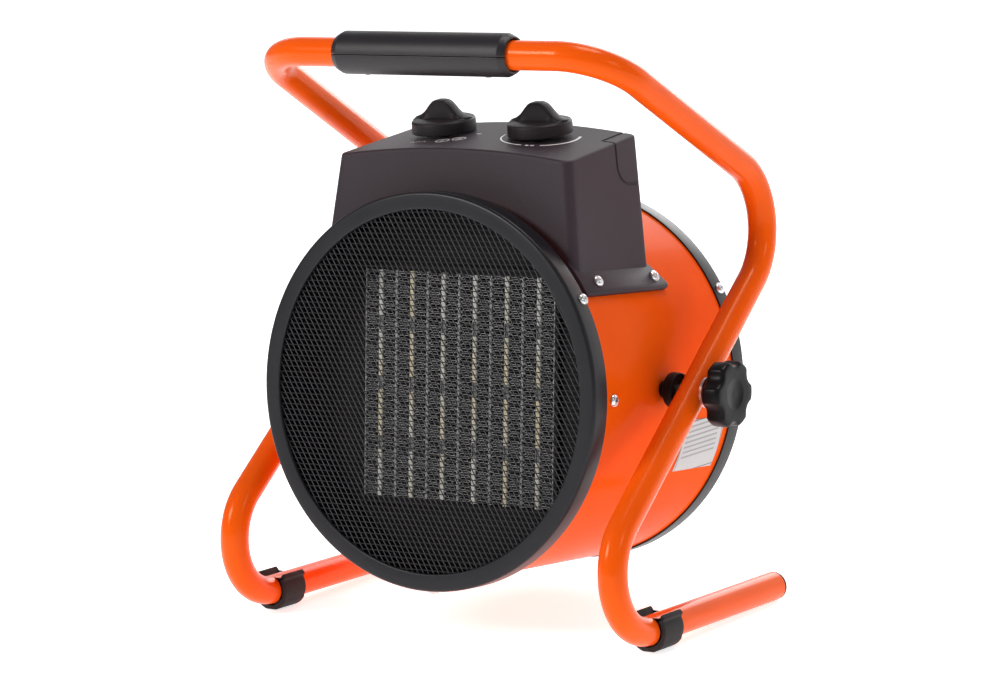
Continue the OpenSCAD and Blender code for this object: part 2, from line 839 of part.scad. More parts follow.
module motor_leads() {
    level = 109;
    color("royalblue") in_drum() for (x = [-7, -1])
        wire([[x, -5.2, terminal_z + 8], [x, -20, terminal_z + 8], [x, -20, level], [x, 60, level],
            [x, 60, motor_r + 0.2]], 6, 1.3);
}

// ---------- the heater ----------

frame_tube();
grip_upper();
grip_lower();
grip_screws();
foot_clip(-1);  // left_foot_clip
foot_clip(1);  // right_foot_clip
end_cap(-1);  // left_end_cap
end_cap(1);  // right_end_cap
spacer(-1);  // left_spacer
spacer(1);  // right_spacer
pivot_nut(-1);  // left_pivot_nut
pivot_nut(1);  // right_pivot_nut
star_knob(-1);  // left_star_knob
star_knob(1);  // right_star_knob
stud(-1);  // left_stud
stud(1);  // right_stud
star_washer(-1);  // left_washer
star_washer(1);  // right_washer
drum_shell();
heat_shield();
front_ring();
front_guard();
rear_ring();
rear_guard();
ring_screws();
shield_screws();
rating_plate();
control_box();
corner_cover();
box_screws();
cable_gland();
mode_knob();
spindle(-1);  // mode_spindle
selector_switch();
thermostat_knob();
spindle(1);  // thermostat_spindle
thermostat();
thermostat_bulb();
terminal_block();
baffle_plate();
element_frame();
heating_bars();
heating_fins();
thermal_cutout();
motor_bracket();
motor_housing();
motor_rotor();
fan();
heater_leads();
motor_leads();
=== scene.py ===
import bpy
import bmesh
import json
import math
from mathutils import Matrix, Vector


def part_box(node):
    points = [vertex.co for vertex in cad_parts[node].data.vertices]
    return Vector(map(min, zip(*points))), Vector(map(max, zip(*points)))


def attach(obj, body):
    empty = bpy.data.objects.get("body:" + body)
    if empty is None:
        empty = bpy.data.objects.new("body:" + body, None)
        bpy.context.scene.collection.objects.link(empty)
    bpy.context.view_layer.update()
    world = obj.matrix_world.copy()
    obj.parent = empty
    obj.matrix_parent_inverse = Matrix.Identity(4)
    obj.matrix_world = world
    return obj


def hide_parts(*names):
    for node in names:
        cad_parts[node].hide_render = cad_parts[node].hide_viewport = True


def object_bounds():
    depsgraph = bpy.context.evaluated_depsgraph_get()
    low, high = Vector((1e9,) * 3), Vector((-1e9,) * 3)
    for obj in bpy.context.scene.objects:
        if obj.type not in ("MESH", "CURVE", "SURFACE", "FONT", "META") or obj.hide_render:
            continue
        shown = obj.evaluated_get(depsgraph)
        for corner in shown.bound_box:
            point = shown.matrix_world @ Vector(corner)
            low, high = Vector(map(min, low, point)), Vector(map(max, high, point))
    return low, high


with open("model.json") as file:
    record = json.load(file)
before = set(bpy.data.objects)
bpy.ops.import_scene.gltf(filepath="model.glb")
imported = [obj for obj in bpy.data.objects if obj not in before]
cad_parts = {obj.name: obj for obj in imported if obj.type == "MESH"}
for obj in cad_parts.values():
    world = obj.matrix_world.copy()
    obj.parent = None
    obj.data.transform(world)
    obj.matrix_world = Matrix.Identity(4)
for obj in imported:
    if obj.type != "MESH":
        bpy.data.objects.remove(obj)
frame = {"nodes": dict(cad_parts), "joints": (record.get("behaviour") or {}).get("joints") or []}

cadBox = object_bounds()
joints = {j["name"]: j for j in frame["joints"]}
pivot = Vector(joints["drum_tilt"]["pos_m"])
drumAxis = Vector(joints["fan_spin"]["axis"])
drumSpot = Vector(joints["fan_spin"]["pos_m"])
tilt = math.atan2(-drumAxis.z, drumAxis.y)
mm = Matrix.Scale(0.001, 4)  # every piece below is drawn in millimetres

# Spaces: the stand and the pivots start at the tilt axis, the drum at its own axis
standSpace = Matrix.Translation(pivot) @ mm
drumSpace = Matrix.Translation(drumSpot) @ Matrix.Rotation(-tilt, 4, "X") @ mm


def turned(angle, axis):
    return Matrix.Rotation(math.radians(angle), 4, axis)


alongDrum = turned(-90, "X")  # +Z of a lathed part then points rearwards


def pivotSpace(side):
    return Matrix.Translation(pivot) @ Matrix.Rotation(-tilt, 4, "X") @ turned(90 * side, "Y") @ mm


def intoScene(made):
    bpy.context.scene.collection.objects.link(made)
    return made


cameraFit = dict(turn=34.12, lift=8.04, roll=-1.67, lean=1.548, away=2.7,
                 right=-0.0026, up=0.02336, lens=147.35)


def makeCamera(fit):
    a, e, r = (math.radians(fit[k]) for k in ("turn", "lift", "roll"))
    back = Vector((math.sin(a) * math.cos(e), -math.cos(a) * math.cos(e), math.sin(e)))
    level = Vector((math.cos(a), math.sin(a), 0))
    top = back.cross(level)
    right = math.cos(r) * level + math.sin(r) * top
    up = -math.sin(r) * level + math.cos(r) * top
    spot = back * fit["away"] + right * fit["right"] + up * fit["up"]
    lean = Matrix.Rotation(math.radians(-fit["lean"]), 3, "X")
    axes = Matrix([lean @ right, lean @ up, lean @ back]).transposed().to_4x4()
    data = bpy.data.cameras.new("camera")
    data.sensor_width = 36
    data.lens = fit["lens"]
    data.clip_end = 50
    cam = bpy.data.objects.new("camera", data)
    cam.matrix_world = Matrix.Translation(pivot + lean @ spot) @ axes
    intoScene(cam)
    bpy.context.scene.camera = cam
    return cam


lampSet = dict(
    key=dict(spot=(-1.3, -2.4, 1.6), size=0.8, power=43, color=(1, 0.98, 0.94)),
    side=dict(spot=(2.5, -0.5, 1.5), size=0.6, power=6, color=(1, 0.99, 0.97)),
    top=dict(spot=(0.3, 0.3, 2.2), size=0.8, power=17, color=(1, 0.98, 0.95)),
    rear=dict(spot=(-0.4, 2.4, 1.2), size=1.2, power=14, color=(1, 1, 1)))


def makeLamps(lamps):
    aim = Vector((0, 0, 0.18))
    for name, lamp in lamps.items():
        data = bpy.data.lights.new(name, "AREA")
        data.shape = "SQUARE"
        data.size = lamp["size"]
        data.energy = lamp["power"]
        data.color = lamp["color"]
        light = bpy.data.objects.new(name, data)
        spot = Vector(lamp["spot"])
        light.matrix_world = (Matrix.Translation(spot)
                              @ (spot - aim).to_track_quat("Z", "Y").to_matrix().to_4x4())
        intoScene(light)
    world = bpy.data.worlds.new("studio")
    world.use_nodes = True
    sky = world.node_tree.nodes["Background"]
    sky.inputs["Color"].default_value = (1, 1, 1, 1)
    sky.inputs["Strength"].default_value = 0.2
    bpy.context.scene.world = world


class Nodes:  # one maker for every node of a tree
    def __init__(self, tree):
        self.tree = tree

    def node(self, kind, settings=None, inputs=()):
        made = self.tree.nodes.new(kind)
        for key, value in (settings or {}).items():
            setattr(made, key, value)
        for key, value in inputs.items() if isinstance(inputs, dict) else enumerate(inputs):
            self.feed(made.inputs[key], value)
        return made

    def feed(self, socket, value):
        if isinstance(value, Value):
            value = value.socket
        if isinstance(value, bpy.types.NodeSocket):
            self.tree.links.new(value, socket)
        else:
            socket.default_value = value


class Value:  # a socket that can be used in sums
    def __init__(self, nodes, socket):
        self.nodes, self.socket = nodes, socket

    def work(self, operation, *values):
        made = self.nodes.node("ShaderNodeMath", dict(operation=operation), values)
        return Value(self.nodes, made.outputs[0])

    def __add__(self, other):
        return self.work("ADD", self, other)

    def __radd__(self, other):
        return self.work("ADD", other, self)

    def __sub__(self, other):
        return self.work("SUBTRACT", self, other)

    def __rsub__(self, other):
        return self.work("SUBTRACT", other, self)

    def __mul__(self, other):
        return self.work("MULTIPLY", self, other)

    def __rmul__(self, other):
        return self.work("MULTIPLY", other, self)

    def __truediv__(self, other):
        return self.work("DIVIDE", self, other)

    def __rtruediv__(self, other):
        return self.work("DIVIDE", other, self)

    def __gt__(self, other):
        return self.work("GREATER_THAN", self, other)

    def __lt__(self, other):
        return self.work("LESS_THAN", self, other)

    def within(self, low, high):
        made = self.nodes.node("ShaderNodeMapRange", {}, {"Value": self, "From Min": low, "From Max": high})
        return Value(self.nodes, made.outputs[0])


class Finish(Nodes):
    def __init__(self, name):
        self.material = bpy.data.materials.new(name)
        self.material.use_nodes = True
        super().__init__(self.material.node_tree)
        self.shader = self.tree.nodes["Principled BSDF"]
        self.place = self.node("ShaderNodeTexCoord").outputs["Object"]

    def vector(self, operation, output, *values):
        return self.node("ShaderNodeVectorMath", dict(operation=operation), values).outputs[output]

    def fromDrum(self):
        return self.vector("SUBTRACT", 0, self.place, tuple(drumSpot))

    def noise(self, scale, detail=2, rough=0.5, stretch=(1, 1, 1)):
        where = self.place
        if stretch != (1, 1, 1):
            where = self.node("ShaderNodeMapping", {}, {"Vector": where, "Scale": stretch}).outputs[0]
        made = self.node("ShaderNodeTexNoise", {}, {
            "Vector": where, "Scale": scale, "Detail": detail, "Roughness": rough})
        return Value(self, made.outputs["Fac"])

    def blend(self, share, one, two):
        return self.node("ShaderNodeMix", dict(data_type="RGBA"), {0: share, 6: one, 7: two}).outputs[2]

    def bump(self, height, depth):
        made = self.node("ShaderNodeBump", {}, {"Height": height, "Distance": depth, "Strength": 1.0})
        return made.outputs[0]

    def set(self, **values):
        names = dict(color="Base Color", rough="Roughness", metal="Metallic", coat="Coat Weight",
                     coatRough="Coat Roughness", normal="Normal", ior="IOR", gloss="Specular IOR Level",
                     tint="Specular Tint", glow="Emission Color", glowPower="Emission Strength")
        for key, value in values.items():
            self.feed(self.shader.inputs[names[key]], value)
        return self.material


def rgb(r, g, b):
    return (r, g, b, 1)


def shades(base, low, high):
    return rgb(*[c * low for c in base]), rgb(*[c * high for c in base])


def orangeCoat(name, ior, rough, blackWithin=None):
    f = Finish(name)
    cloud, peel, speck = f.noise(14, 3), f.noise(620), f.noise(2600, 1)
    color = f.blend(cloud.within(0.35, 0.7), rgb(0.86, 0.092, 0.003), rgb(0.92, 0.108, 0.004))
    if blackWithin:  # inside this radius the sheet is coloured almost black
        reach = f.vector("LENGTH", "Value", f.vector("CROSS_PRODUCT", 0, f.fromDrum(), tuple(drumAxis)))
        color = f.blend(Value(f, reach) < blackWithin, color, rgb(0.012, 0.011, 0.011))
    return f.set(color=color, rough=rough + cloud * 0.08, normal=f.bump(peel * 0.8 + speck * 0.2, 0.00005),
                 ior=ior, tint=rgb(1.0, 0.6, 0.3), coat=0.05, coatRough=0.08)


def paintedBlack(name, base, rough, gloss):
    f = Finish(name)
    cloud, fine = f.noise(22, 3), f.noise(1500, 2, 0.6)
    color = f.blend(cloud.within(0.3, 0.75), *shades(base, 0.86, 1.16))
    return f.set(color=color, rough=rough - 0.05 + cloud * 0.1, gloss=gloss, normal=f.bump(fine, 0.00004))


def guardEnamel():
    f = Finish("guardEnamel")
    # painted sheen: one family of strands is painted lighter, standing in for the light it catches
    paintedSheen = Value(f, f.node("ShaderNodeAttribute", dict(attribute_name="paintedSheen")).outputs["Fac"])
    fine = f.noise(900)
    color = f.blend(paintedSheen * (0.75 + fine * 0.5), rgb(0.006, 0.006, 0.007), rgb(0.075, 0.073, 0.082))
    return f.set(color=color, rough=0.4 + fine * 0.1, gloss=0.3, normal=f.bump(fine, 0.00003))


def mouldedPlastic(name, base, rough, grain=2200, depth=0.00007, gloss=0.5):
    f = Finish(name)
    cloud, fine = f.noise(9, 3), f.noise(grain * 1.7)
    pits = Value(f, f.node("ShaderNodeTexVoronoi", {}, {"Vector": f.place, "Scale": grain}).outputs["Distance"])
    color = f.blend(cloud.within(0.3, 0.7) * 0.7 + fine * 0.3, *shades(base, 0.84, 1.15))
    return f.set(color=color, rough=rough - 0.06 + fine * 0.12, gloss=gloss,
                 normal=f.bump(pits * 0.6 + fine * 0.4, depth))


def blackRubber():
    f = Finish("blackRubber")
    dust, fine = f.noise(60, 4, 0.7), f.noise(1800)
    color = f.blend(dust.within(0.52, 0.85), rgb(0.008, 0.008, 0.009), rgb(0.035, 0.034, 0.032))
    return f.set(color=color, rough=0.62 + dust * 0.2, normal=f.bump(fine, 0.00008))


def platedSteel(name, base, rough, stretch=(1, 1, 1)):
    f = Finish(name)
    cloud, brush = f.noise(160, 3), f.noise(700, 2, 0.6, stretch)
    color = f.blend(cloud.within(0.35, 0.7), *shades(base, 0.8, 1))
    return f.set(color=color, metal=1.0, rough=rough - 0.05 + brush * 0.16, normal=f.bump(brush, 0.00002))


labelSizes = dict(edge=0.0016, barPitch=3.4, barShare=0.38, barFrom=0.005, barTo=0.007, barLow=0.012)


def labelFoil(corners, s):
    f = Finish("labelFoil")
    low, high = corners
    split = f.node("ShaderNodeSeparateXYZ", {}, [f.place])
    y, z = Value(f, split.outputs["Y"]), Value(f, split.outputs["Z"])

    def inside(inY, inZ):
        return (y > low.y + inY) * (y < high.y - inY) * (z > low.z + inZ) * (z < high.z - inZ)

    border = inside(s["edge"], s["edge"]) - inside(1.4 * s["edge"], 1.5 * s["edge"])
    haze = f.noise(240, 3, 0.6, (1, 0.2, 1))
    rows = (z - low.z) * 1000 / s["barPitch"]
    bars = ((rows.work("FRACT", rows) > 1 - s["barShare"]) * (z > low.z + s["barLow"])
            * (y > low.y + s["barFrom"]) * (y < high.y - s["barTo"]))
    marks = border.work("MAXIMUM", border, bars * 0.62)
    color = f.blend(marks, f.blend(haze, rgb(0.44, 0.45, 0.46), rgb(0.55, 0.56, 0.57)), rgb(0.16, 0.16, 0.17))
    return f.set(color=color, metal=0.15, rough=0.34 + haze * 0.1)


def finFoil():
    f = Finish("finFoil")
    # painted shade: the foil is pale only at its front edge and painted dark further in, where shade falls
    # between the folds
    deep = Value(f, f.vector("DOT_PRODUCT", "Value", f.fromDrum(), tuple(drumAxis))).within(-0.0530, -0.0515)
    fine = f.noise(700, 3, 0.6)
    edge = f.blend(fine.within(0.35, 0.7), rgb(0.18, 0.18, 0.19), rgb(0.62, 0.62, 0.61))
    color = f.blend(deep, edge, rgb(0.04, 0.04, 0.042))
    return f.set(color=color, rough=0.4 + fine * 0.1, metal=0.1, normal=f.bump(fine, 0.00004))


def heaterStone():
    f = Finish("heaterStone")
    speck, tone = f.noise(900, 3, 0.7), f.noise(34, 2, 0.5, (1, 0.05, 0.3))
    warm = f.blend(tone.within(0.44, 0.56), rgb(0.95, 0.80, 0.50), rgb(0.82, 0.86, 0.92))
    color = f.blend(speck.within(0.3, 0.7), rgb(0.62, 0.56, 0.44), warm)
    return f.set(color=color, rough=0.75, normal=f.bump(speck, 0.0001))


def paleFloor():
    f = Finish("paleFloor")
    color = f.blend(f.noise(3), rgb(0.95, 0.95, 0.95), rgb(0.97, 0.97, 0.97))
    return f.set(color=color, rough=0.9, gloss=0.0, glow=rgb(1, 1, 1), glowPower=0.72)


finishes = dict(
    orange=orangeCoat("orangeCoat", 1.33, 0.17),
    shell=orangeCoat("orangeShell", 1.06, 0.2, blackWithin=0.1229),
    enamel=paintedBlack("ringEnamel", (0.010, 0.0095, 0.013), 0.36, 0.3),
    guard=guardEnamel(),
    dark=paintedBlack("darkSheet", (0.004, 0.004, 0.004), 0.6, 0.2),
    box=mouldedPlastic("boxPlastic", (0.031, 0.021, 0.029), 0.5, gloss=0.25),
    knob=mouldedPlastic("knobPlastic", (0.012, 0.008, 0.011), 0.46, 1800, 0.0001, 0.3),
    star=mouldedPlastic("starPlastic", (0.006, 0.005, 0.006), 0.32, 1500, 0.00004, 0.12),
    grip=mouldedPlastic("gripPlastic", (0.010, 0.008, 0.011), 0.44, 1500, 0.00012, 0.45),
    black=mouldedPlastic("blackPlastic", (0.004, 0.004, 0.004), 0.42, gloss=0.15),
    rubber=blackRubber(),
    zinc=platedSteel("zincPlate", (0.80, 0.81, 0.83), 0.26),
    sheet=platedSteel("galvanisedSheet", (0.42, 0.43, 0.44), 0.42, (1, 0.2, 1)),
    foil=finFoil(),
    copper=platedSteel("copperTube", (0.80, 0.42, 0.22), 0.3),
    cream=mouldedPlastic("creamPlastic", (0.62, 0.58, 0.47), 0.45),
    fan=mouldedPlastic("fanPlastic", (0.020, 0.020, 0.022), 0.4),
    red=mouldedPlastic("redInsulation", (0.42, 0.02, 0.015), 0.4),
    blue=mouldedPlastic("blueInsulation", (0.02, 0.05, 0.35), 0.4),
    print=mouldedPlastic("whitePrint", (0.80, 0.80, 0.80), 0.5, 3000, 0.00001),
    label=labelFoil(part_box("rating_plate"), labelSizes),
    stone=heaterStone(),
    floor=paleFloor())
print("finishes made:", len(finishes))


class Shape:
    def __init__(self):
        self.points, self.faces = [], []

    def add(self, points, faces, place=None):
        base = len(self.points)
        self.points += [tuple(place @ Vector(p)) if place else tuple(p) for p in points]
        self.faces += [tuple(i + base for i in f) for f in faces]
        return self


def smooth(mesh, angle):
    mesh.shade_smooth()
    mesh.set_sharp_from_angle(angle=math.radians(angle))
    return mesh


def meshOf(name, shape, space, sharp=32):
    mesh = bpy.data.meshes.new(name)
    mesh.from_pydata([space @ Vector(p) for p in shape.points], [], shape.faces)
    bm = bmesh.new()
    bm.from_mesh(mesh)
    bmesh.ops.remove_doubles(bm, verts=bm.verts, dist=2e-6)
    bmesh.ops.dissolve_degenerate(bm, edges=bm.edges, dist=1e-7)
    bmesh.ops.recalc_face_normals(bm, faces=bm.faces)
    bm.to_mesh(mesh)
    bm.free()
    return smooth(mesh, sharp)


def piece(name, mesh, finish, body, hides=()):
    made = bpy.data.objects.new(name, mesh)
    mesh.materials.clear()
    mesh.materials.append(finishes[finish])
    intoScene(made)
    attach(made, body)
    if hides:
        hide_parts(*hides)
    return made


def cornerArc(here, a, b, reach, r, half, steps):
    centre = here + (a + b).normalized() * (r / math.sin(half))
    first, last = here + a * reach - centre, here + b * reach - centre
    turn = first.angle(last)
    shares = [(math.sin((1 - k / steps) * turn), math.sin(k / steps * turn)) for k in range(steps + 1)]
    return [centre + (first * one + last * two) / math.sin(turn) for one, two in shares]


def fillet(points, radii, steps=6):
    out = []
    for i, p in enumerate(points):
        r = radii[i] if isinstance(radii, (list, tuple)) else radii
        here = Vector(p)
        toA, toB = Vector(points[i - 1]) - here, Vector(points[(i + 1) % len(points)]) - here
        if r <= 0 or min(toA.length, toB.length) < 1e-6 or toA.angle(toB) > math.radians(178):
            out.append(tuple(here))
            continue
        a, b = toA.normalized(), toB.normalized()
        half = a.angle(b) / 2
        reach = min(r / math.tan(half), toA.length * 0.49, toB.length * 0.49)
        out += [tuple(v) for v in cornerArc(here, a, b, reach, reach * math.tan(half), half, steps)]
    return out


def lathe(profile, count=96):
    rows = []
    for k in range(count):
        a = 2 * math.pi * k / count
        rows.append([(r * math.cos(a), r * math.sin(a), h) for r, h in profile])
    points = [p for row in rows for p in row]
    n = len(profile)
    faces = []
    for k in range(count):
        j = (k + 1) % count
        for i in range(n):
            m = (i + 1) % n
            faces.append((k * n + i, j * n + i, j * n + m, k * n + m))
    return points, faces


def stack(rings, capped=True, closed=False):
    n = len(rings[0])
    points = [p for ring in rings for p in ring]
    faces = []
    last = len(rings) if closed else len(rings) - 1
    for k in range(last):
        j = (k + 1) % len(rings)
        for i in range(n):
            m = (i + 1) % n
            faces.append((k * n + i, k * n + m, j * n + m, j * n + i))
    if capped and not closed:
        faces.append(tuple(range(n))[::-1])
        faces.append(tuple((len(rings) - 1) * n + i for i in range(n)))
    return points, faces


def inset(outline, amount):
    out = []
    count = len(outline)
    for i, p in enumerate(outline):
        a, here, b = Vector(outline[i - 1]), Vector(p), Vector(outline[(i + 1) % count])
        one = (here - a).normalized()
        two = (b - here).normalized()
        left = Vector((-(one + two).y, (one + two).x))
        if left.length < 1e-9:
            left = Vector((-one.y, one.x))
        left.normalize()
        side = Vector((-one.y, one.x))
        out.append(tuple(here + left * amount / max(0.4, left.dot(side))))
    return out


def plate(outline, low, high, edge=0.5, steps=3):
    rings = []
    for k in range(steps + 1):
        pull = edge * (1 - math.sin(math.pi / 2 * k / steps))
        rings.append([(x, y, low + pull) for x, y in inset(outline, pull)])
    for k in range(steps + 1):
        a = math.pi / 2 * k / steps
        drop, pull = edge * (1 - math.sin(a)), edge * (1 - math.cos(a))
        rings.append([(x, y, high - drop) for x, y in inset(outline, pull)])
    return stack(rings)


def bentPath(corners, radii, bendStep):
    path = [Vector(corners[0])]
    for i in range(1, len(corners) - 1):
        here = Vector(corners[i])
        a = (Vector(corners[i - 1]) - here).normalized()
        b = (Vector(corners[i + 1]) - here).normalized()
        half = a.angle(b) / 2
        steps = max(3, round(math.degrees(math.pi - 2 * half) / bendStep))
        path += cornerArc(here, a, b, radii[i] / math.tan(half), radii[i], half, steps)
    path.append(Vector(corners[-1]))
    return path


def sweepRings(path, section):
    rings = []
    normal = None
    for i, p in enumerate(path):
        ahead = (path[min(i + 1, len(path) - 1)] - path[max(i - 1, 0)]).normalized()
        if normal is None:
            normal = ahead.orthogonal().normalized()
        normal = (normal - ahead * normal.dot(ahead)).normalized()
        other = ahead.cross(normal)
        rings.append([tuple(p + normal * x + other * y) for x, y in section])
    return rings


def circle(r, count):
    angles = [2 * math.pi * k / count for k in range(count)]
    return [(r * math.cos(a), r * math.sin(a)) for a in angles]


def level(r, z, count):
    return [(x, y, z) for x, y in circle(r, count)]


class Maker(Nodes):  # a geometry tree with named inputs
    def __init__(self, name, sockets):
        super().__init__(bpy.data.node_groups.new(name, "GeometryNodeTree"))
        face = self.tree.interface
        for label, kind in [("Geometry", "Geometry"), *sockets.items(), ("Finish", "Material")]:
            face.new_socket(label, in_out="INPUT", socket_type="NodeSocket" + kind)
        face.new_socket("Geometry", in_out="OUTPUT", socket_type="NodeSocketGeometry")
        self.start = self.node("NodeGroupInput").outputs

    def instances(self, points, label, **turns):
        shape = self.node("GeometryNodeObjectInfo", {}, {"Object": self.start[label]}).outputs["Geometry"]
        return self.node("GeometryNodeInstanceOnPoints", {}, {
            "Points": points, "Instance": shape, **turns}).outputs["Instances"]

    def close(self, instances, weld=0):
        made = self.node("GeometryNodeRealizeInstances", {}, [instances]).outputs[0]
        if weld:
            made = self.node("GeometryNodeMergeByDistance", {}, {"Geometry": made, "Distance": weld}).outputs[0]
        made = self.node("GeometryNodeSetMaterial", {}, {"Geometry": made, "Material": self.start["Finish"]})
        self.node("NodeGroupOutput", {}, [made.outputs[0]])
        return self.tree


def scatterTree():  # a shape on points, each turned to its own direction
    g = Maker("setOnPoints", dict(Shape="Object", Size="Float"))

    def named(name, kind):
        made = g.node("GeometryNodeInputNamedAttribute", dict(data_type=kind), {"Name": name})
        return made.outputs["Attribute"]

    aim = g.node("FunctionNodeAlignRotationToVector", dict(axis="Z"), {"Vector": named("aim", "FLOAT_VECTOR")})
    spin = g.node("FunctionNodeAxisAngleToRotation", {}, {"Axis": (0, 0, 1), "Angle": named("spin", "FLOAT")})
    both = g.node("FunctionNodeRotateRotation", dict(rotation_space="LOCAL"), {
        "Rotation": aim.outputs["Rotation"], "Rotate By": spin.outputs["Rotation"]})
    return g.close(g.instances(g.start["Geometry"], "Shape", Rotation=both.outputs["Rotation"],
                               Scale=g.start["Size"]))


def runTree(name, base, tree, inputs):
    holder = bpy.data.objects.new(name + "Maker", base)
    intoScene(holder)
    modifier = holder.modifiers.new("nodes", "NODES")
    modifier.node_group = tree
    ids = {s.name: s.identifier for s in tree.interface.items_tree if s.in_out == "INPUT"}
    for key, value in inputs.items():
        modifier[ids[key]] = value
    graph = bpy.context.evaluated_depsgraph_get()
    mesh = bpy.data.meshes.new_from_object(holder.evaluated_get(graph))
    holder.modifiers.remove(modifier)
    bpy.data.objects.remove(holder)
    return mesh


def scatter(name, shape, places, space, finish, size=1.0):
    shapeHolder = intoScene(bpy.data.objects.new(name + "Shape", meshOf(name + "Shape", shape, Matrix())))
    spots, aims, spins = zip(*places)
    base = bpy.data.meshes.new(name + "Points")
    base.from_pydata(spots, [], [])
    base.attributes.new("aim", "FLOAT_VECTOR", "POINT").data.foreach_set("vector", [c for a in aims for c in a])
    base.attributes.new("spin", "FLOAT", "POINT").data.foreach_set("value", spins)
    mesh = runTree(name, base, setOnPoints, {"Shape": shapeHolder, "Size": size, "Finish": finishes[finish]})
    bpy.data.objects.remove(shapeHolder)
    mesh.transform(space)
    return smooth(mesh, 32)


setOnPoints = scatterTree()


def onDrum(angle, y, r):
    a = math.radians(angle)
    return (r * math.sin(a), y, r * math.cos(a)), (math.sin(a), 0, math.cos(a))


tube = dict(radius=9.5, wall=1.5, barHalf=135.5, pivotHalf=146, footHalf=149, barFront=71, barRise=221.7,
            legAngle=37.2, elbowReach=169, heelBack=87, elbowBend=46, cornerBend=40,
            clipWall=4, clipFront=60, edge=0.35, around=48)


def tubeCorners(t):
    z0 = -pivot.z * 1000
    rise = t["clipWall"] / (t["heelBack"] + t["clipFront"])
    footZ = lambda y: z0 + t["radius"] + (t["heelBack"] - y) * rise
    slope = math.tan(math.radians(t["legAngle"]))
    toeY = (t["radius"] + t["heelBack"] * rise + z0) / (slope + rise)
    spread = (t["footHalf"] - t["pivotHalf"]) / toeY
    elbowY = t["elbowReach"] * math.cos(math.radians(t["legAngle"]))
    side = [(t["footHalf"], t["heelBack"], footZ(t["heelBack"])),
            (t["footHalf"], toeY, footZ(toeY)),
            (t["pivotHalf"] + spread * elbowY, elbowY, elbowY * slope),
            (t["barHalf"], -t["barFront"], t["barRise"])]
    left = [(-x, y, z) for x, y, z in side]
    return left + side[::-1], math.degrees(math.atan(rise)), footZ


footCorners, footSlope, footHeight = tubeCorners(tube)


def footPlace(side, y, facing):  # a spot on a foot, with +Z along the tube
    return Matrix.Translation((side * tube["footHalf"], y, footHeight(y))) @ turned(facing - footSlope, "X")


def makeTube(t):
    half = [0, t["cornerBend"], t["elbowBend"], t["cornerBend"]]
    path = bentPath(footCorners, half + half[::-1], 3)
    outer = sweepRings(path, circle(t["radius"], t["around"]))
    inner = sweepRings(path, circle(t["radius"] - t["wall"], t["around"]))
    lips = []
    for end, beside in ((0, 1), (-1, -2)):  # the outer edge of both ends is broken
        away = (path[end] - path[beside]).normalized() * t["edge"]
        share = 1 - t["edge"] / t["radius"]
        lips.append([tuple(path[end] + (Vector(p) - path[end]) * share) for p in outer[end]])
        outer[end] = [tuple(Vector(p) - away) for p in outer[end]]
    shape = Shape().add(*stack([lips[0]] + outer + [lips[1]] + inner[::-1], closed=True))
    piece("stand_tube", meshOf("stand_tube", shape, standSpace, 40), "orange", "stand",
          ["frame_tube"])


gripSizes = dict(length=136, radius=14, bore=9.9, split=0.18, edge=0.3, collar=5.5, screwGap=94)


def gripHalf(upper, g):
    end = g["length"] / 2
    profile = fillet([(g["bore"], -end + 2.5), (g["radius"] - 2.6, -end), (g["radius"], -end + g["collar"]),
                      (g["radius"], end - g["collar"]), (g["radius"] - 2.6, end), (g["bore"], end - 2.5)],
                     [0.4, 1.0, 2.0, 2.0, 1.0, 0.4], 5)
    start = math.asin(g["split"] / g["radius"])
    rows = []
    steps = 36
    for k in range(steps + 1):
        a = start + (math.pi - 2 * start) * k / steps
        rows.append([(x, r * math.cos(a), (1 if upper else -1) * r * math.sin(a)) for r, x in profile])
    return rows


def makeGrip(g):
    place = Matrix.Translation((0, -tube["barFront"], tube["barRise"]))
    for upper, name, node in ((True, "grip_top", "grip_upper"), (False, "grip_bottom", "grip_lower")):
        shape = Shape().add(*stack(gripHalf(upper, g)), place)
        mesh = meshOf(name, shape, standSpace, 38)
        made = piece(name, mesh, "grip", "stand", [node])
        soften(made, g["edge"])


def soften(made, width):
    modifier = made.modifiers.new("bevel", "BEVEL")
    modifier.width = width / 1000
    modifier.segments = 2
    modifier.limit_method = "ANGLE"
    modifier.angle_limit = math.radians(40)
    graph = bpy.context.evaluated_depsgraph_get()
    graph.update()
    mesh = bpy.data.meshes.new_from_object(made.evaluated_get(graph))
    made.modifiers.remove(modifier)
    old = made.data
    made.data = mesh
    bpy.data.meshes.remove(old)
    smooth(mesh, 40)


clipSizes = dict(width=22, clear=0.25, lip=2.4, opening=47, flat=0.5, edge=0.9)


def clipOutline(c):
    inner, outer = tube["radius"] + c["clear"], tube["radius"] + tube["clipWall"]
    spot = lambda r, a: (r * math.sin(math.radians(a)), r * math.cos(math.radians(a)))
    o = c["opening"]
    points, radii = [], []

    def put(p, r):
        points.append(p)
        radii.append(r)
    put(spot(inner, o), 0.8)
    put(spot(outer + c["lip"], o - 4), 0.8)
    put(spot(outer + c["lip"], o + 9), 0.9)
    put(spot(outer, o + 13), 1.2)
    foot = outer + c["flat"]
    for a in range(int(o) + 22, 360 - int(o) - 21, 6):
        x, y = spot(foot if 120 < a < 240 else outer, a)
        put((x, max(y, -outer)), 0)
    put(spot(outer, -o - 13), 1.2)
    put(spot(outer + c["lip"], -o - 9), 0.9)
    put(spot(outer + c["lip"], -o + 4), 0.8)
    put(spot(inner, -o), 0.8)
    for a in range(int(o) + 6, 360 - int(o) - 5, 8):
        put(spot(inner, -a), 0)
    return fillet(points, radii, 4)


def makeClips(c):
    for side, word in ((-1, "left"), (1, "right")):
        half = c["width"] / 2
        place = footPlace(side, -tube["clipFront"], 90)
        outline = clipOutline(c)[::-1]
        shape = Shape().add(*plate(outline, -half, half, c["edge"]), place)
        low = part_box(word + "_foot_clip")[0].z
        mesh = meshOf(word + "_clip", shape, standSpace, 40)
        for v in mesh.vertices:
            v.co.z = max(v.co.z, low)
        piece(word + "_clip", mesh, "rubber", "stand", [word + "_foot_clip"])


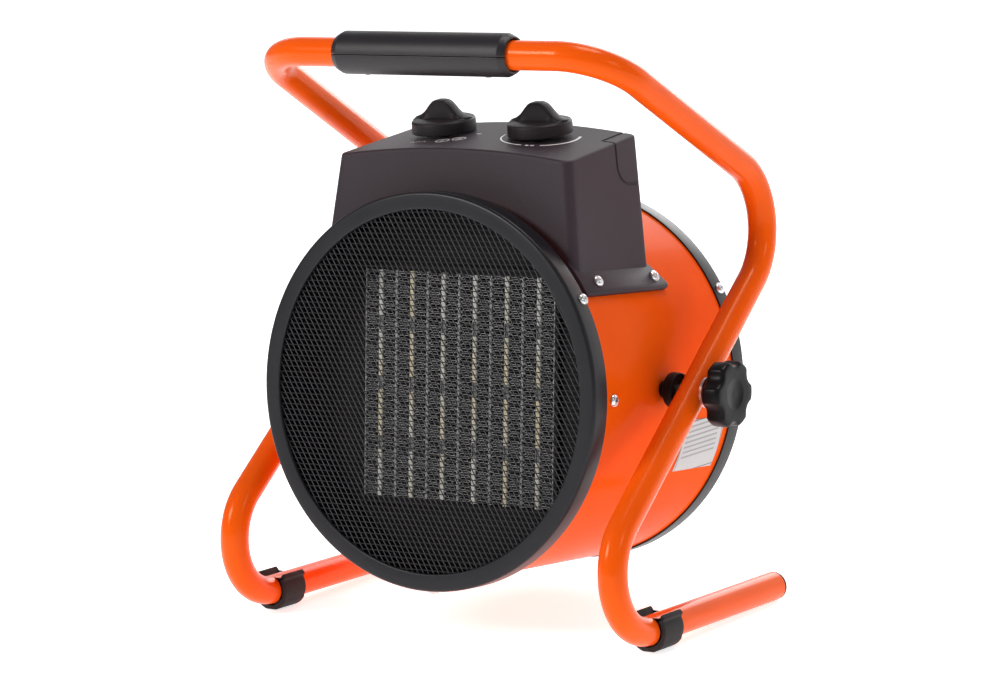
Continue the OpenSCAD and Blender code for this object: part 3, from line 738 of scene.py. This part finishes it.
plugSizes = dict(out=2.2, deep=9, bore=2.2, clear=0.1, round=0.8)


def makeEndCaps(p):
    for side, word in ((-1, "left"), (1, "right")):
        rim, core = tube["radius"] - p["clear"], tube["radius"] - p["bore"]
        profile = fillet([(0, p["out"]), (rim, p["out"] - 0.1), (rim, 0.05), (core, 0.05), (core, -p["deep"]),
                          (0, -p["deep"])], [0, p["round"], 0.1, 0, 0.5, 0], 4)
        shape = Shape().add(*lathe(profile, 64), footPlace(side, tube["heelBack"], -90))
        piece(word + "_plug", meshOf(word + "_plug", shape, standSpace), "black", "stand",
              [word + "_end_cap"])


starSizes = dict(lobes=6, radius=22, scallop=8.8, centre=27.3, soft=1.6, inner=157.95, bore=4.1, boreDeep=8.5,
                 hub=11, hubHigh=6, dish=18.8, around=120)
spacerSizes = dict(bore=4.2, start=122.9, neck=5.6, step=129, disc=11.5, clear=0.45)


def starEdge(s, angle):
    turn = 2 * math.pi / s["lobes"]
    a = (angle + turn / 2) % turn - turn / 2
    inside = s["scallop"] ** 2 - (s["centre"] * math.sin(a)) ** 2
    if inside <= 0:
        return s["radius"]
    near = s["centre"] * math.cos(a) - math.sqrt(inside)
    return -math.log(math.exp(-s["soft"] * s["radius"]) + math.exp(-s["soft"] * near)) / s["soft"]


def starShape(s):
    n, z0 = s["around"], s["inner"]
    depth = [s["radius"] - starEdge(s, 2 * math.pi * i / n) for i in range(n)]
    rings = [level(r, z0 + z, n) for r, z in ((s["bore"], 0), (s["hub"] - 0.6, 0), (s["hub"] - 0.1, 0.5),
                                              (s["hub"], s["hubHigh"]))]
    # height, share of the radius, share of the scallops
    for z, k, wave in ((6, 0.62, 0), (6.1, 0.84, 0.7), (6.6, 0.93, 1), (7.6, 0.975, 1), (9.5, 0.99, 1),
                       (15.5, 1, 1), (17.9, 0.99, 1), (18.8, 0.965, 1), (19.3, 0.93, 1), (19.5, 0.88, 0.95),
                       (19.4, 0.7, 0.6), (19.2, 0.5, 0), (19.1, 0.42, 0), (s["dish"], 0.4, 0),
                       (s["dish"], 0.1, 0), (s["dish"], 0.0001, 0)):
        reach = [(s["radius"] - d * wave) * k for d in depth]
        rings.append([(x * r, y * r, z0 + z) for (x, y), r in zip(circle(1, n), reach)])
    bore = [level(r, z0 + z, n)
            for r, z in ((s["bore"], 0), (s["bore"], s["boreDeep"]), (0.0001, s["boreDeep"]))]
    return Shape().add(*stack(rings, capped=False)).add(*stack(bore, capped=False))


def makePivots(s, p):
    for side, word in ((-1, "left"), (1, "right")):
        end = tube["pivotHalf"] - tube["radius"] - p["clear"]
        profile = fillet([(p["bore"], p["start"]), (p["neck"], p["start"]), (p["neck"], p["step"]),
                          (p["disc"], p["step"]), (p["disc"], end), (p["bore"], end)],
                         [0, 0, 0.4, 1.3, 0.9, 0.3], 5)
        spacer = meshOf(word + "_pivot_spacer", Shape().add(*lathe(profile, 72)), pivotSpace(side))
        piece(word + "_pivot_spacer", spacer, "black", "drum", [word + "_spacer"])
        piece(word + "_star", meshOf(word + "_star", starShape(s), pivotSpace(side), 50), "star",
              word + "_clamp", [word + "_star_knob"])
    print("stand and pivots made")


drum = dict(radius=123.5, wall=1.2, front=-87.1, back=97.1, bands=12, around=256)
trims = dict(
    front=dict(outline=[(117.4, -88.3), (117.4, -90.5), (129, -90.5), (129, -75.5), (123.8, -75.5),
                        (123.8, -88.3)], rounds=[0.4, 1.1, 2.4, 0.7, 0.3, 0.2]),
    rear=dict(outline=[(123.7, 86.5), (124.8, 86.5), (124.8, 100.5), (113, 100.5), (113, 98.3), (123.7, 98.3)],
              rounds=[0.2, 0.3, 1.8, 0.9, 0.4, 0.2]))


def makeDrum(d):
    outer, inner = d["radius"], d["radius"] - d["wall"]
    seam = fillet([(inner, d["front"]), (outer, d["front"]), (outer, d["back"]), (inner, d["back"])], 0.3, 3)
    profile = []
    for p, q in zip(seam, seam[1:] + seam[:1]):
        profile.append(p)
        if abs(p[1] - q[1]) > 50:  # the long walls get bands
            profile += [(p[0], p[1] + (q[1] - p[1]) * k / d["bands"]) for k in range(1, d["bands"])]
    shape = Shape().add(*lathe(profile, d["around"]), alongDrum)
    piece("drum_skin", meshOf("drum_skin", shape, drumSpace), "shell", "drum", ["drum_shell"])
    for word, r in trims.items():
        shape = Shape().add(*lathe(fillet(r["outline"], r["rounds"], 6), d["around"]), alongDrum)
        piece(word + "_trim", meshOf(word + "_trim", shape, drumSpace, 50), "enamel", "drum",
              [word + "_ring"])
    print("drum and rings made")


guardSizes = dict(wide=4.1, tall=7.1, strand=0.3, thick=0.7, lean=0.25, turn=61, radius=119.5,
                  weld=0.02, front=-87.6, rear=97.7)


def guardTree(weld):  # one diamond on every point of a staggered grid, cut to a disc
    g = Maker("diamondGuard", dict(Cell="Object", Wide="Float", Tall="Float", Radius="Float"))
    wide, tall, radius = (Value(g, g.start[k]) for k in ("Wide", "Tall", "Radius"))
    across, down = radius / wide, radius / tall
    across, down = across.work("CEIL", across), down.work("CEIL", down)
    both = g.node("GeometryNodeJoinGeometry")
    for shift in (0, 0.5):
        grid = g.node("GeometryNodeMeshGrid", {}, {
            "Size X": across * 2 * wide, "Size Y": down * 2 * tall,
            "Vertices X": across * 2 + 1, "Vertices Y": down * 2 + 1})
        offset = g.node("ShaderNodeCombineXYZ", {}, [wide * shift, tall * shift])
        moved = g.node("GeometryNodeTransform", {}, {
            "Geometry": grid.outputs["Mesh"], "Translation": offset.outputs[0]})
        g.feed(both.inputs[0], moved.outputs[0])
    spot = g.node("GeometryNodeInputPosition").outputs[0]
    far = Value(g, g.node("ShaderNodeVectorMath", dict(operation="LENGTH"), [spot]).outputs["Value"])
    points = g.node("GeometryNodeDeleteGeometry", dict(domain="POINT"), {
        "Geometry": both.outputs[0], "Selection": far > radius})
    return g.close(g.instances(points.outputs[0], "Cell"), weld)


def diamondCell(g):
    w, h, t = g["wide"] / 2, g["tall"] / 2, g["thick"] / 2
    k = 1 - g["strand"] / (w * h / math.hypot(w, h))
    outer = [(w, 0), (0, h), (-w, 0), (0, -h)]
    lean = [0, g["lean"], 0, -g["lean"]]  # the strands lean towards one side
    points = []
    for z in (t, -t):
        points += [(x, y, z) for x, y in outer]
        points += [(x * k, y * k, z + tip) for (x, y), tip in zip(outer, lean)]
    faces = []
    for i in range(4):
        j = (i + 1) % 4
        faces += [(i, j, 4 + j, 4 + i), (8 + j, 8 + i, 12 + i, 12 + j), (4 + i, 4 + j, 12 + j, 12 + i)]
    # the last list is the painted sheen of each face: the strands of one family are painted lighter
    return points, faces, [0.12 + 0.88 * (n // 3 % 2) for n in range(len(faces))]


def makeGuards(g):
    tree = guardTree(g["weld"])
    points, faces, paintedSheen = diamondCell(g)
    cell = bpy.data.meshes.new("guardCell")
    cell.from_pydata(points, [], faces)
    cell.attributes.new("paintedSheen", "FLOAT", "FACE").data.foreach_set("value", paintedSheen)
    holder = intoScene(bpy.data.objects.new("guardCell", cell))
    for word in ("front", "rear"):
        mesh = runTree(word + "Guard", bpy.data.meshes.new(word + "Base"), tree, {
            "Cell": holder, "Wide": g["wide"], "Tall": g["tall"], "Radius": g["radius"],
            "Finish": finishes["guard"]})
        place = drumSpace @ Matrix.Translation((0, g[word], 0)) @ turned(90, "X")
        mesh.transform(place @ turned(g["turn"], "Z"))
        mesh.shade_flat()
        print(word, "guard faces", len(mesh.polygons))
        piece(word + "_mesh", mesh, "guard", "drum", [word + "_guard"])
    bpy.data.objects.remove(holder)


screwSizes = dict(head=4.0, high=2.5, recess=1.3, arm=1.9, waist=0.75, armShare=0.34, around=32,
                  trimAngles=(60, 180, 300), trimSeats=((-79, 128.95), (93.5, 124.75)),
                  sideAngle=90, sideY=-60, flangeAngle=54.4, flangeY=(-48.7, 18.8), flangeSeat=127.2,
                  handleSink=1.6, handleSize=0.8)


def screwShape(s):
    head, high, count = s["head"], s["high"], s["around"]
    rings = [level(r, z, count) for r, z in (
        (0, 0), (head, 0), (head, 0.5), (head * 0.96, 1.2), (head * 0.82, 1.85), (head * 0.6, 2.3),
        (head * 0.44, high * 0.97))]
    cross = []
    for x, y in circle(1, count):
        if min(abs(x), abs(y)) < s["armShare"]:
            reach = s["arm"] / max(abs(x), abs(y))
        else:
            reach = s["waist"]
        cross.append((reach * x, reach * y))
    rings.append([(x, y, high) for x, y in cross])
    rings.append([(x * 0.8, y * 0.8, high - s["recess"]) for x, y in cross])
    rings.append([(0, 0, high - s["recess"])] * count)
    return Shape().add(*stack(rings, capped=False))


def makeScrews(s):
    pan = screwShape(s)

    def row(name, spots, space, body, hides, size=1.0):
        piece(name, scatter(name, pan, spots, space, "zinc", size), "zinc", body, [hides])

    row("trim_screws", [(*onDrum(a, y, r), 0.4 + i * 0.7) for i, a in enumerate(s["trimAngles"])
                        for y, r in s["trimSeats"]], drumSpace, "drum", "ring_screws")
    row("side_screws", [(*onDrum(side * s["sideAngle"], s["sideY"], drum["radius"]), 0.3) for side in (1, -1)],
        drumSpace, "drum", "shield_screws")
    row("flange_screws", [(*onDrum(side * s["flangeAngle"], y, s["flangeSeat"]), 0.2 + y / 30)
                          for side in (-1, 1) for y in s["flangeY"]], drumSpace, "drum", "box_screws")
    under = tube["barRise"] - gripSizes["radius"] + s["handleSink"]
    row("handle_screws", [((side * gripSizes["screwGap"] / 2, -tube["barFront"], under), (0, 0, -1), 0.5)
                          for side in (-1, 1)], standSpace, "stand", "grip_screws", s["handleSize"])
    print("screws made")


box = dict(halfTop=90, halfLow=98.6, topZ=150, lowZ=82, frontTop=-63.8, frontLow=-67.5, back=20, corner=6.2,
           panelZ=155.8, slope=10.6, arch=643, edge=1.6, seat=123.9, middle=-22,
           coverFront=-7, coverSide=79, coverLow=134, coverRound=12, groove=1.15)


def boxWall(top, low, z):  # where a wall with draft stands at a height
    return box[top] + (box[low] - box[top]) * (box["topZ"] - z) / (box["topZ"] - box["lowZ"])


def panelHeight(x, y):
    return (box["panelZ"] + (y - box["frontTop"]) * math.tan(math.radians(box["slope"]))
            - x * x / 2 / box["arch"])


def boxOutline(z, shrink):
    half, front = boxWall("halfTop", "halfLow", z) - shrink, boxWall("frontTop", "frontLow", z) + shrink
    back = box["back"] - shrink
    r = max(0.6, box["corner"] - shrink)
    small = max(0.6, r * 0.6)
    arcs = []
    for x, y, rad, start in ((half, front, r, -90), (half, back, small, 0), (-half, back, small, 90),
                             (-half, front, r, 180)):
        cx, cy = x - math.copysign(rad, x), y - (rad if y == back else -rad)
        arcs.append([(cx + rad * math.cos(math.radians(start + 90 * k / 8)),
                      cy + rad * math.sin(math.radians(start + 90 * k / 8))) for k in range(9)])
    steps = (24, 48, 24, 48)
    out = []
    for i in range(4):
        out += arcs[i]
        a, b = arcs[i][-1], arcs[(i + 1) % 4][0]
        out += [(a[0] + (b[0] - a[0]) * k / steps[i], a[1] + (b[1] - a[1]) * k / steps[i])
                for k in range(1, steps[i])]
    return out


def boxShape(b):
    count = len(boxOutline(100, 0))
    seat, top = [], []
    for i in range(count):  # each wall line runs down to the drum and up to the panel
        z = 90.0
        for _ in range(12):
            x, y = boxOutline(z, 0)[i]
            z = math.sqrt(max(b["seat"] ** 2 - x * x, 0))
        seat.append((x, y, z))
        z = 150.0
        for _ in range(5):
            x, y = boxOutline(z, 0)[i]
            z = panelHeight(x, y) - b["edge"]
        top.append((x, y, z))
    middle = b["middle"]
    toMiddle = lambda ring, k: [(x * k, middle + (y - middle) * k) for x, y, z in ring]
    rings = []
    for k in (0.0001, 0.1, 0.3, 0.5, 0.7, 0.9, 0.999):  # underside, lying on the drum
        rings.append([(x, y, math.sqrt(b["seat"] ** 2 - x ** 2)) for x, y in toMiddle(seat, k)])
    for k in (0, 0.04, 0.5, 0.96, 1):
        rings.append([tuple(Vector(p).lerp(Vector(q), k)) for p, q in zip(seat, top)])
    steps = 5
    for k in range(1, steps + 1):  # rounded rim
        a = math.pi / 2 * k / steps
        rim = []
        for i in range(count):
            x, y = boxOutline(top[i][2], b["edge"] * (1 - math.cos(a)))[i]
            rim.append((x, y, panelHeight(x, y) - b["edge"] * (1 - math.sin(a))))
        rings.append(rim)
    for k in (0.97, 0.85, 0.7, 0.5, 0.3, 0.12, 0.0001):
        rings.append([(x, y, panelHeight(x, y)) for x, y in toMiddle(rim, k)])
    return Shape().add(*stack(rings, capped=False))


def coverLine(b):  # the groove round the corner cover
    r, past = b["coverRound"], b["back"] + 1.5
    side = lambda z: boxWall("halfTop", "halfLow", z)
    path = []
    for k in range(9):
        x, y = b["coverSide"], past - k * (past - b["coverFront"]) / 8
        path.append(Vector((x, y, panelHeight(x, y))))
    for k in range(1, 6):
        x = b["coverSide"] + (side(158) - b["coverSide"]) * k / 5
        path.append(Vector((x, b["coverFront"], panelHeight(x, b["coverFront"]) - (0.4 if k == 5 else 0))))
    for z in (156, 153, 150, 148, b["coverLow"] + r):
        path.append(Vector((side(z), b["coverFront"], z)))
    for k in range(1, 9):
        a = math.radians(90 * k / 8)
        z = b["coverLow"] + r - r * math.sin(a)
        path.append(Vector((side(z), b["coverFront"] + r - r * math.cos(a), z)))
    for y in (10, 16, past):
        path.append(Vector((side(b["coverLow"]), y, b["coverLow"])))
    return path


def makeBox(b):
    body = intoScene(bpy.data.objects.new("box_body", meshOf("box_body", boxShape(b), drumSpace, 35)))
    cutter = Shape().add(*stack(sweepRings(coverLine(b), circle(b["groove"], 10))))
    tool = intoScene(bpy.data.objects.new("grooveTool", meshOf("grooveTool", cutter, drumSpace)))
    modifier = body.modifiers.new("groove", "BOOLEAN")
    modifier.operation = "DIFFERENCE"
    modifier.object = tool
    modifier.solver = "EXACT"
    graph = bpy.context.evaluated_depsgraph_get()
    mesh = smooth(bpy.data.meshes.new_from_object(body.evaluated_get(graph)), 35)
    bpy.data.objects.remove(tool)
    bpy.data.objects.remove(body)
    print("box faces", len(mesh.polygons))
    piece("control_cover", mesh, "box", "drum", ["control_box", "corner_cover"])


flange = dict(seat=123.85, thick=3.3, high=47.2, low=58.5, front=-68, rearHigh=19, rearLow=31, edge=0.8)


def makeFlanges(f):
    for side, word in ((-1, "left"), (1, "right")):
        rings = []
        steps = 22
        for k in range(steps + 1):
            t = k / steps
            angle = f["high"] + (f["low"] - f["high"]) * t
            rear = f["rearHigh"] + (f["rearLow"] - f["rearHigh"]) * min(1, max(0, (t - 0.12) / 0.72))
            front = f["front"]
            near = max(0, (t - 0.86) / 0.14)  # round the two lower corners
            pull = 3.4 * (1 - math.sqrt(max(0, 1 - near ** 2)))
            front, rear = front + pull, rear - pull
            e = f["edge"]
            drop = e * (1 - math.sqrt(max(0, 1 - (max(0, t - 0.93) / 0.07) ** 2)))
            top = f["seat"] + f["thick"] - drop
            section = [(front, f["seat"]), (front, top - e), (front + e * 0.3, top - e * 0.3),
                       (front + e, top), (rear - e, top), (rear - e * 0.3, top - e * 0.3), (rear, top - e),
                       (rear, f["seat"])]
            a = math.radians(angle) * side
            rings.append([(r * math.sin(a), y, r * math.cos(a)) for y, r in section])
        mesh = meshOf(word + "_flange", Shape().add(*stack(rings)), drumSpace, 40)
        piece(word + "_flange", mesh, "box", "drum")


knobSizes = dict(half=37.8, front=-16.5, radius=21.5, skirt=8.3, height=21, lift=2, ridge=5.2)


def knobPlace(side):
    k = knobSizes
    z = panelHeight(side * k["half"], k["front"])
    return (Matrix.Translation((side * k["half"], k["front"], z))
            @ turned(box["slope"], "X"))


def knobShape(k):
    r, s = k["radius"], k["skirt"]
    profile = fillet([(0.001, 1.2), (r - 2.5, 1.2), (r - 2.0, 0), (r, 0), (r - 0.35, s - 0.2),
                      (r - 4.5, s + 0.5), (0.001, s + 0.7)], [0, 0.3, 0.3, 0.4, 1.7, 2.5, 0], 5)
    shape = Shape().add(*lathe(profile, 96))
    rings = []
    count = 44
    for i in range(count + 1):
        x = -r + 1.0 + (2 * r - 2.0) * i / count
        bell = 1 / (1 + (abs(x) / 10.6) ** 3.6)
        bell = max(0, (bell - 0.07) / 0.93)
        top = s + 0.9 + (k["height"] - s - 0.9) * bell ** 0.92
        chord = math.sqrt(max(0.04, (r - 0.9) ** 2 - x * x))
        wide = min(k["ridge"] + 3.4 * (1 - bell) ** 1.5, chord)
        crest = min(k["ridge"] * 0.78, wide * 0.8)
        low = s - 1.5
        e = min(1.3, (top - low) * 0.4)
        side = [(wide, low), (wide, s + 0.2), (crest + (wide - crest) * 0.45, s + 0.2 + (top - s) * 0.25),
                (crest + 0.5, s + (top - s) * 0.6), (crest, top - e), (crest - e * 0.3, top - e * 0.3),
                (crest - e, top)]
        rings.append([(x, y, z) for y, z in side] + [(x, -y, z) for y, z in side[::-1]])
    shape.add(*stack(rings))
    return shape


def makeKnobs(k):
    for side, word, node in ((-1, "mode", "mode_knob"), (1, "thermostat", "thermostat_knob")):
        place = drumSpace @ knobPlace(side) @ Matrix.Translation((0, 0, k["lift"]))
        mesh = meshOf(word + "_handle", knobShape(k), place, 42)
        piece(word + "_handle", mesh, "knob", word + "_dial", [node])


def printStrip(shape, line, width, lift=0.07):
    left, right = [], []
    for i, p in enumerate(line):
        p = Vector(p)
        ahead = (Vector(line[min(i + 1, len(line) - 1)]) - Vector(line[max(i - 1, 0)])).normalized()
        half = (width(i / (len(line) - 1)) if callable(width) else width) / 2
        side = Vector((-ahead.y, ahead.x)) * half
        left.append(p + side)
        right.append(p - side)
    at = lambda p, up: (p.x, p.y, panelHeight(p.x, p.y) + up)
    rings = [[at(a, lift), at(b, lift), at(b, -0.1), at(a, -0.1)] for a, b in zip(left, right)]
    shape.add(*stack(rings))


def arc(cx, cy, r, start, end, steps=40):
    return [(cx + r * math.cos(math.radians(start + (end - start) * k / steps)),
             cy + r * math.sin(math.radians(start + (end - start) * k / steps))) for k in range(steps + 1)]


markSizes = dict(reach=25.9, low=(185, 274, 0.8, 0.4), high=(302, 385, 1.2, 0.7), bars=(283, 291), barWide=1.7,
                 ring=4.4, ringLine=0.65, rings=((15, -24.5), (24, -18.5)), peaks=3, peakGap=4.4)


def makeMarks(m, k):
    shape = Shape()
    cx, cy = k["half"], k["front"]
    for start, end, wide, grow in (m["low"], m["high"]):
        printStrip(shape, arc(cx, cy, m["reach"], start, end, 60), lambda t: wide + grow * t)
    for a in m["bars"]:  # two plain bars where the scale starts
        printStrip(shape, arc(cx, cy, m["reach"], a - 2.6, a + 2.6, 6), m["barWide"])
    cx = -k["half"]
    for i in range(m["peaks"]):  # small peaks for the fan
        x = cx - 9 + i * m["peakGap"]
        printStrip(shape, [(x, cy - 27), (x + 1.6, cy - 25.2), (x + 3.2, cy - 27)], 0.5)
    for i, (x, y) in enumerate(m["rings"]):
        x, y = cx + x, cy + y
        printStrip(shape, arc(x, y, m["ring"], 0, 360, 28), m["ringLine"])
        for j in range(i + 1):  # one bar or two bars for the heat steps
            o = (j - i / 2) * 2.2
            printStrip(shape, [(x + o, y - 2.1), (x + o, y + 2.1)], 0.75)
    printStrip(shape, [(cx + 27.5, cy - 3), (cx + 31.0, cy - 3)], 0.9)
    piece("dial_print", meshOf("dial_print", shape, drumSpace), "print", "drum")
    print("control box, knobs and marks made")


element = dict(rows=6, pitch=24.8, height=149, front=-53, depth=15.6, stone=2.6, stones=4, gap=9,
               fold=3.1, foil=0.36)


def makeElement(e):
    low, front, back = -e["height"] / 2, e["front"], e["front"] + e["depth"]
    stones, plates = Shape(), Shape()

    def bar(shape, x, half, y0, y1, z0, z1, edge):
        corners = [(x - half, y0), (x + half, y0), (x + half, y1), (x - half, y1)]
        shape.add(*plate(corners, z0, z1, edge, 2))

    rows = [(i + 0.5 - e["rows"] / 2) * e["pitch"] for i in range(e["rows"])]
    length = (e["height"] - (e["stones"] - 1) * e["gap"]) / e["stones"]
    near, far = e["stone"] / 2 + 0.55, e["pitch"] / 2 - 0.7  # the foil fills the space between these
    count = int(e["height"] / e["fold"])
    spots = []
    for x in rows:
        for j in range(e["stones"]):
            z = low + j * (length + e["gap"])
            if j:
                bar(plates, x, e["stone"] / 2, front + 0.9, front + 3, z - e["gap"], z, 0.1)
            bar(stones, x, e["stone"] / 2, front - 0.4, back - 1, z, z + length, 0.4)
        for side in (-1, 1):
            bar(plates, x + side * (e["stone"] / 2 + 0.3), 0.2, front, back, low, -low, 0.05)
            bar(plates, x + side * (e["pitch"] / 2 - 0.45), 0.35, front - 0.3, back, low, -low, 0.05)
            mid = x + side * (near + (far - near) / 2)
            levels = [low + (n + 0.5) * e["height"] / count for n in range(count)]
            spots += [((mid, front, z), (0, 0, 1), 0.0) for z in levels]
    # one fold: foil that crosses the gap twice and bulges in between
    wide, h, deep = (far - near) / 2, e["fold"] / 2, e["depth"] - 0.4
    line = [(-wide, -h), (-wide * 0.5, -h * 0.35), (wide * 0.5, -h * 0.45), (wide, 0), (wide * 0.5, h * 0.4),
            (-wide * 0.5, h * 0.45), (-wide, h)]
    strip = line + [(x, z + e["foil"]) for x, z in line[::-1]]
    points = [(x, 0, z) for x, z in strip] + [(x, deep, z) for x, z in strip]
    n, m = len(line), len(strip)
    faces = [(0, m - 1, 2 * m - 1, m), (n - 1, m + n - 1, m + n, n)]  # the two ends of the strip
    for i in range(n - 1):
        a, b, c, d = i, i + 1, m - 2 - i, m - 1 - i
        faces += [(a, b, c, d), (m + b, m + a, m + d, m + c), (a, m + a, m + b, b), (d, c, m + c, m + d)]
    mesh = scatter("element_fins", Shape().add(points, faces), spots, drumSpace, "foil")
    print("fin folds", len(spots), "faces", len(mesh.polygons))
    piece("element_fins", mesh, "foil", "drum", ["heating_fins"])
    piece("element_stones", meshOf("element_stones", stones, drumSpace), "stone", "drum",
          ["heating_bars"])
    tab = [(-0.8, -0.2), (0.8, -0.2), (0.8, 0.2), (-0.8, 0.2)]
    for i, x in enumerate(rows):  # little contact tabs on top of the rows, two kinds by turns
        o, tall, turn = (6.5, 2.6, -0.2) if i % 2 else (-e["pitch"] / 2 + 0.3, 4.2, 0.25)
        place = Matrix.Translation((x + o, front + 0.6, -low - 0.5)) @ Matrix.Rotation(turn, 4, "Y")
        plates.add(*plate(tab, 0, tall, 0.08, 1), place)
    piece("element_plates", meshOf("element_plates", plates, drumSpace), "foil", "drum")


fanSizes = dict(blades=6, hub=24, bore=4.02, tip=103.5, low=10.5, high=33.5, thick=1.6)


def makeFan(f):
    shape = Shape()
    rim, low, high = f["hub"], f["low"], f["high"]
    hub = fillet([(f["bore"], low - 0.3), (rim - 1, low - 0.3), (rim, low + 3), (rim, high + 0.3),
                  (rim - 3, high + 0.3), (rim - 4, low + 4), (9, low + 4), (9, high - 3),
                  (f["bore"], high - 3)], [0.3, 2, 2, 0.6, 0.6, 1, 1, 0.6, 0.3], 4)
    shape.add(*lathe(hub, 96))
    for b in range(f["blades"]):
        rings = []
        for i in range(15):
            t = i / 14
            r = f["hub"] - 1.5 + (f["tip"] - f["hub"] + 1.5) * t
            middle = 2 * math.pi * b / f["blades"] + 0.22 * t * t
            spread = math.radians(21 + 5 * math.sin(math.pi * min(1, t * 1.1)))
            if t > 0.86:
                spread *= math.sqrt(max(0.05, 1 - ((t - 0.86) / 0.15) ** 2))
            rise = (f["high"] - f["low"] - 2.4) * (1 - 0.42 * t)
            upper, lower = [], []
            for j in range(11):
                s = j / 10 * 2 - 1
                a = middle + spread * s
                camber = 2.2 * (1 - s * s)
                z = (f["high"] + f["low"]) / 2 + s * rise / 2 + camber - 0.8
                half = f["thick"] / 2 * (1 - 0.6 * abs(s) ** 3)
                upper.append((r * math.cos(a), r * math.sin(a), z + half))
                lower.append((r * math.cos(a), r * math.sin(a), z - half))
            rings.append(upper + lower[::-1])
        shape.add(*stack(rings))
    piece("fan_wheel", meshOf("fan_wheel", Shape().add(shape.points, shape.faces, alongDrum), drumSpace, 40),
          "fan", "fan_rotor", ["fan"])
    print("fan made")


nodeFinish = dict(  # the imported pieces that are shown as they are
    zinc=("left_pivot_nut", "right_pivot_nut", "left_stud", "right_stud", "left_washer", "right_washer",
          "mode_spindle", "thermostat_spindle", "motor_rotor"),
    dark=("heat_shield", "baffle_plate", "element_frame"),
    cream=("selector_switch", "thermostat", "terminal_block", "thermal_cutout"),
    sheet=("motor_bracket", "motor_housing"),
    label=("rating_plate",), black=("cable_gland",), copper=("thermostat_bulb",),
    red=("heater_leads",), blue=("motor_leads",))


def finishNodes(table):
    for finish, names in table.items():
        for name in names:
            mesh = frame["nodes"][name].data
            if not mesh.materials:
                mesh.materials.append(None)
            for i in range(len(mesh.materials)):
                mesh.materials[i] = finishes[finish]


floorSizes = dict(half=6.0, back=2.6, sweep=1.6, high=5.0, below=0.0002)


def makeFloor(f):
    rows = [(-f["half"], 0), (f["back"], 0)]
    rows += [(f["back"] + f["sweep"] * math.sin(math.radians(a)), f["sweep"] * (1 - math.cos(math.radians(a))))
             for a in range(6, 91, 6)]
    rows.append((f["back"] + f["sweep"], f["high"]))
    low = cadBox[0][2] - f["below"]
    mesh = bpy.data.meshes.new("floor")
    mesh.from_pydata([(x, y, z + low) for y, z in rows for x in (-f["half"], f["half"])], [],
                     [(2 * i, 2 * i + 1, 2 * i + 3, 2 * i + 2) for i in range(len(rows) - 1)])
    mesh.shade_smooth()
    mesh.materials.append(finishes["floor"])
    intoScene(bpy.data.objects.new("floor", mesh))


makeCamera(cameraFit)
makeLamps(lampSet)
makeFloor(floorSizes)
print("camera, lamps and floor made")
makeTube(tube)
makeGrip(gripSizes)
makeClips(clipSizes)
makeEndCaps(plugSizes)
makePivots(starSizes, spacerSizes)
makeDrum(drum)
makeGuards(guardSizes)
makeScrews(screwSizes)
makeBox(box)
makeFlanges(flange)
makeKnobs(knobSizes)
makeMarks(markSizes, knobSizes)
makeElement(element)
makeFan(fanSizes)
finishNodes(nodeFinish)
print("packed pieces finished:", sum(len(names) for names in nodeFinish.values()))
bpy.context.scene.view_settings.view_transform = "Standard"

print("sizes written")
